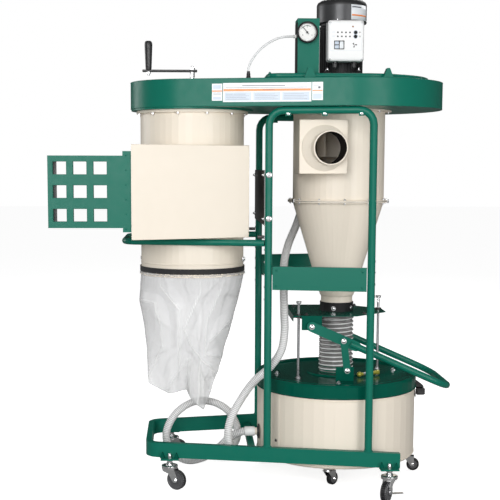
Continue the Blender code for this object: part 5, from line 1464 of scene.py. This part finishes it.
def make_lid_parts():
    bm = new()
    for r, z, thick in ((0.289, 0.4072, 0.003), (0.112, 0.4058, 0.0024), (0.0655, 0.41, 0.002)):
        hoop(bm, r, z, thick)
    lathe(bm, [(0.0637, 0.431), (0.066, 0.4314), (0.066, 0.433), (0.0612, 0.4334)], 64, at(0, 0, 0))
    lathe(bm, [(0.3149, 0.364), (0.3168, 0.362), (0.317, 0.3592), (0.315, 0.3576)], 128, at(0, 0, 0))
    piece("lid_beads", bm, "lid", DARK_GREEN_AND_SHADE, angle=180)
    seal = new()
    collar(seal, at(0, 0, 0), 0.3095, 0.3148, 0.356, 0.3578, 128)
    piece("lid_seal", seal, "lid", RUBBER)
    bolts = new()
    for a in (-172, -95, 8, 95):
        bolt(bolts, around(0, 0.238, radians(a), 0.4032), 0.011)
    piece("lid_bolts", bolts, "lid", ZINC)
    fit = new()
    axis = Vector((0.095, 0.048, 0.001)).normalized()
    start = at(0.07, -0.113, 0.4135)
    turn = start @ aim(axis)
    lathe(fit, [(0, 0), (0.0065, 0.001), (0.0095, 0.005), (0.01, 0.009), (0.0085, 0.015), (0.0055, 0.019),
                (0.0055, 0.026),
                (0, 0.026)], 20, turn, 0)
    lathe(fit, [(0.005, 0.025), (0.0062, 0.0255), (0.0062, 0.06), (0.005, 0.0605)], 20, turn, 1)
    hexagon(fit, turn, 0.017, 0.06, 0.072, 0)
    lathe(fit, [(0.0075, 0.072), (0.0075, 0.09), (0.0095, 0.091), (0.0095, 0.099), (0.008, 0.1), (0, 0.1)],
          20, turn, 0)
    piece("lid_fitting", fit, "lid", [OLIVE, ALUMINIUM])


def make_drum_parts():
    bm = new()
    for z in (0.348, 0.101):
        hoop(bm, DRUM_R + 0.0002, z, 0.0018, 128)
    for a0, a1 in ((-147, -139.4), (36, 43.6)):
        steps = 6
        rows = []
        for k in range(steps + 1):
            a = radians(a0 + (a1 - a0) * k / steps)
            rise = 0.0004 if k in (0, steps) else 0.0022
            rows.append([bm.verts.new((CX + (DRUM_R + rise) * cos(a), (DRUM_R + rise) * sin(a), z))
                         for z in (0.099, 0.348)])
        for p, q in zip(rows, rows[1:]):
            bm.faces.new((p[0], q[0], q[1], p[1]))
    piece("drum_beads", bm, "drum", BEIGE)
    screws = new()
    for a in (radians(-143.2), radians(39.8)):
        dome(screws, around(0, DRUM_R + 0.0022, a, 0.174) @ aim((cos(a), sin(a), 0)), 0.0056)
    piece("drum_seam_screws", screws, "drum", BLACK_PAINT)
    port = new()
    way = aim((-1, 0, 0))
    lathe(port, [(0.015, 0), (0.029, 0), (0.029, 0.004), (0.021, 0.0055), (0.019, 0.008)], 32,
          at(-0.307, PORT[1], PORT[2]) @ way, close=True)
    piece("drum_port_flange", port, "drum", BLACK_PLASTIC)
    latch = new()
    block(latch, (CX + 0.3112, -0.038, 0.308), (CX + 0.315, -0.002, 0.348), bevel=0.001)
    for v in (-0.031, -0.009):
        dome(latch, at(0.3151, v, 0.313) @ aim((1, 0, 0)), 0.0026)
    piece("drum_latch_plate", latch, "drum", ZINC)
    grip = new()
    for k in range(3):
        block(grip, (CX + 0.3496, -0.042, 0.322 + 0.0065 * k), (CX + 0.3508, 0.002, 0.325 + 0.0065 * k),
              bevel=0.0004)
    hook = new()
    face = shift(CX, 0.002, 0) @ STAND
    extrude(hook, [(0.3152, 0.348), (0.346, 0.348), (0.344, 0.354), (0.317, 0.374), (0.3152, 0.374)], 0.0,
            0.038, face)
    piece("lid_hook", hook, "lid", BLACK_PLASTIC)
    piece("drum_latch_ribs", grip, "latch", BLACK_PLASTIC)


make_lift_parts()
make_rod_parts()
make_lid_parts()
make_drum_parts()


# ------------------------------------------------------------ floor, light
def for_the_eye(nt, kind, others, seen):
    """One shader for camera rays, another for light that bounces."""
    ray = node(nt, "LightPath")
    mix = node(nt, "MixShader", {0: ray.outputs["Is Camera Ray"], 1: others.outputs[0], 2: seen.outputs[0]})
    node(nt, kind, {"Surface": mix.outputs[0]})


def make_floor_paper():
    """White paper: bright to the eye, but it throws little light back under the machine."""
    mat = bpy.data.materials.new("floor_paper")
    mat.use_nodes = True
    nt = mat.node_tree
    nt.nodes.clear()
    sheet = node(nt, "BsdfDiffuse", {"Color": (0.75, 0.75, 0.75, 1)})
    glow = node(nt, "Emission", {"Strength": 0.8})
    seen = node(nt, "AddShader", {0: sheet.outputs[0], 1: glow.outputs[0]})
    dull = node(nt, "BsdfDiffuse", {"Color": (0.4, 0.4, 0.4, 1)})
    for_the_eye(nt, "OutputMaterial", dull, seen)
    return mat


SKY_FRONT, SKY_BACK = 0.42, 0.03


def make_sky():
    """A white studio, brighter in front of the machine than behind it."""
    world = bpy.data.worlds.new("studio")
    scene.world = world
    world.use_nodes = True
    nt = world.node_tree
    nt.nodes.clear()
    place = node(nt, "TexCoord")
    split = node(nt, "SeparateXYZ", {0: place.outputs["Generated"]})
    level = node(nt, "MapRange", {"From Min": -1.0, "To Min": SKY_FRONT, "To Max": SKY_BACK,
                                  "Value": split.outputs["Y"]})
    light = node(nt, "Background", {"Strength": level.outputs["Result"], "Color": (1, 1, 1, 1)})
    white = node(nt, "Background", {"Color": (1, 1, 1, 1)})
    for_the_eye(nt, "OutputWorld", light, white)


# name, place, target, side of the square in metres, power in watts
LIGHTS = (("key", (-1.4, -5.2, 2.1), (-0.1, 0, 0.9), 2.8, 166.0),
          ("fill", (2.7, -4.8, 1.3), (0, 0, 0.9), 2.4, 100.0),
          ("rear", (2.6, 3.4, 4.6), (0, 0, 0.9), 1.6, 75.0),
          ("rear_left", (-4.6, 2.4, 2.2), (0, 0, 0.9), 2.4, 60.0))


def make_studio():
    bm = new()
    bmesh.ops.create_grid(bm, x_segments=1, y_segments=1, size=30.0)
    data = bpy.data.meshes.new("floor")
    bm.to_mesh(data)
    bm.free()
    floor = bpy.data.objects.new("floor", data)
    floor.location = (0, 0, -0.0006)
    scene.collection.objects.link(floor)
    data.materials.append(make_floor_paper())
    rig.stage(floor)
    make_sky()
    for name, place, target, size, power in LIGHTS:
        lamp = bpy.data.lights.new(name, "AREA")
        lamp.size = size
        lamp.energy = power
        obj = bpy.data.objects.new(name, lamp)
        aimed = (Vector(target) - Vector(place)).to_track_quat("-Z", "Y").to_matrix().to_4x4()
        obj.matrix_world = Matrix.Translation(place) @ aimed
        scene.collection.objects.link(obj)
    scene.view_settings.view_transform = "Standard"
    scene.view_settings.look = "None"


make_studio()

bpy.context.view_layer.update()
with open(SIZE_FILE, "w") as out:
    json.dump({"cad": CAD_BOX, "visual": [list(corner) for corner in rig.bounds()]}, out,
              default=lambda v: [float(x) for x in v])
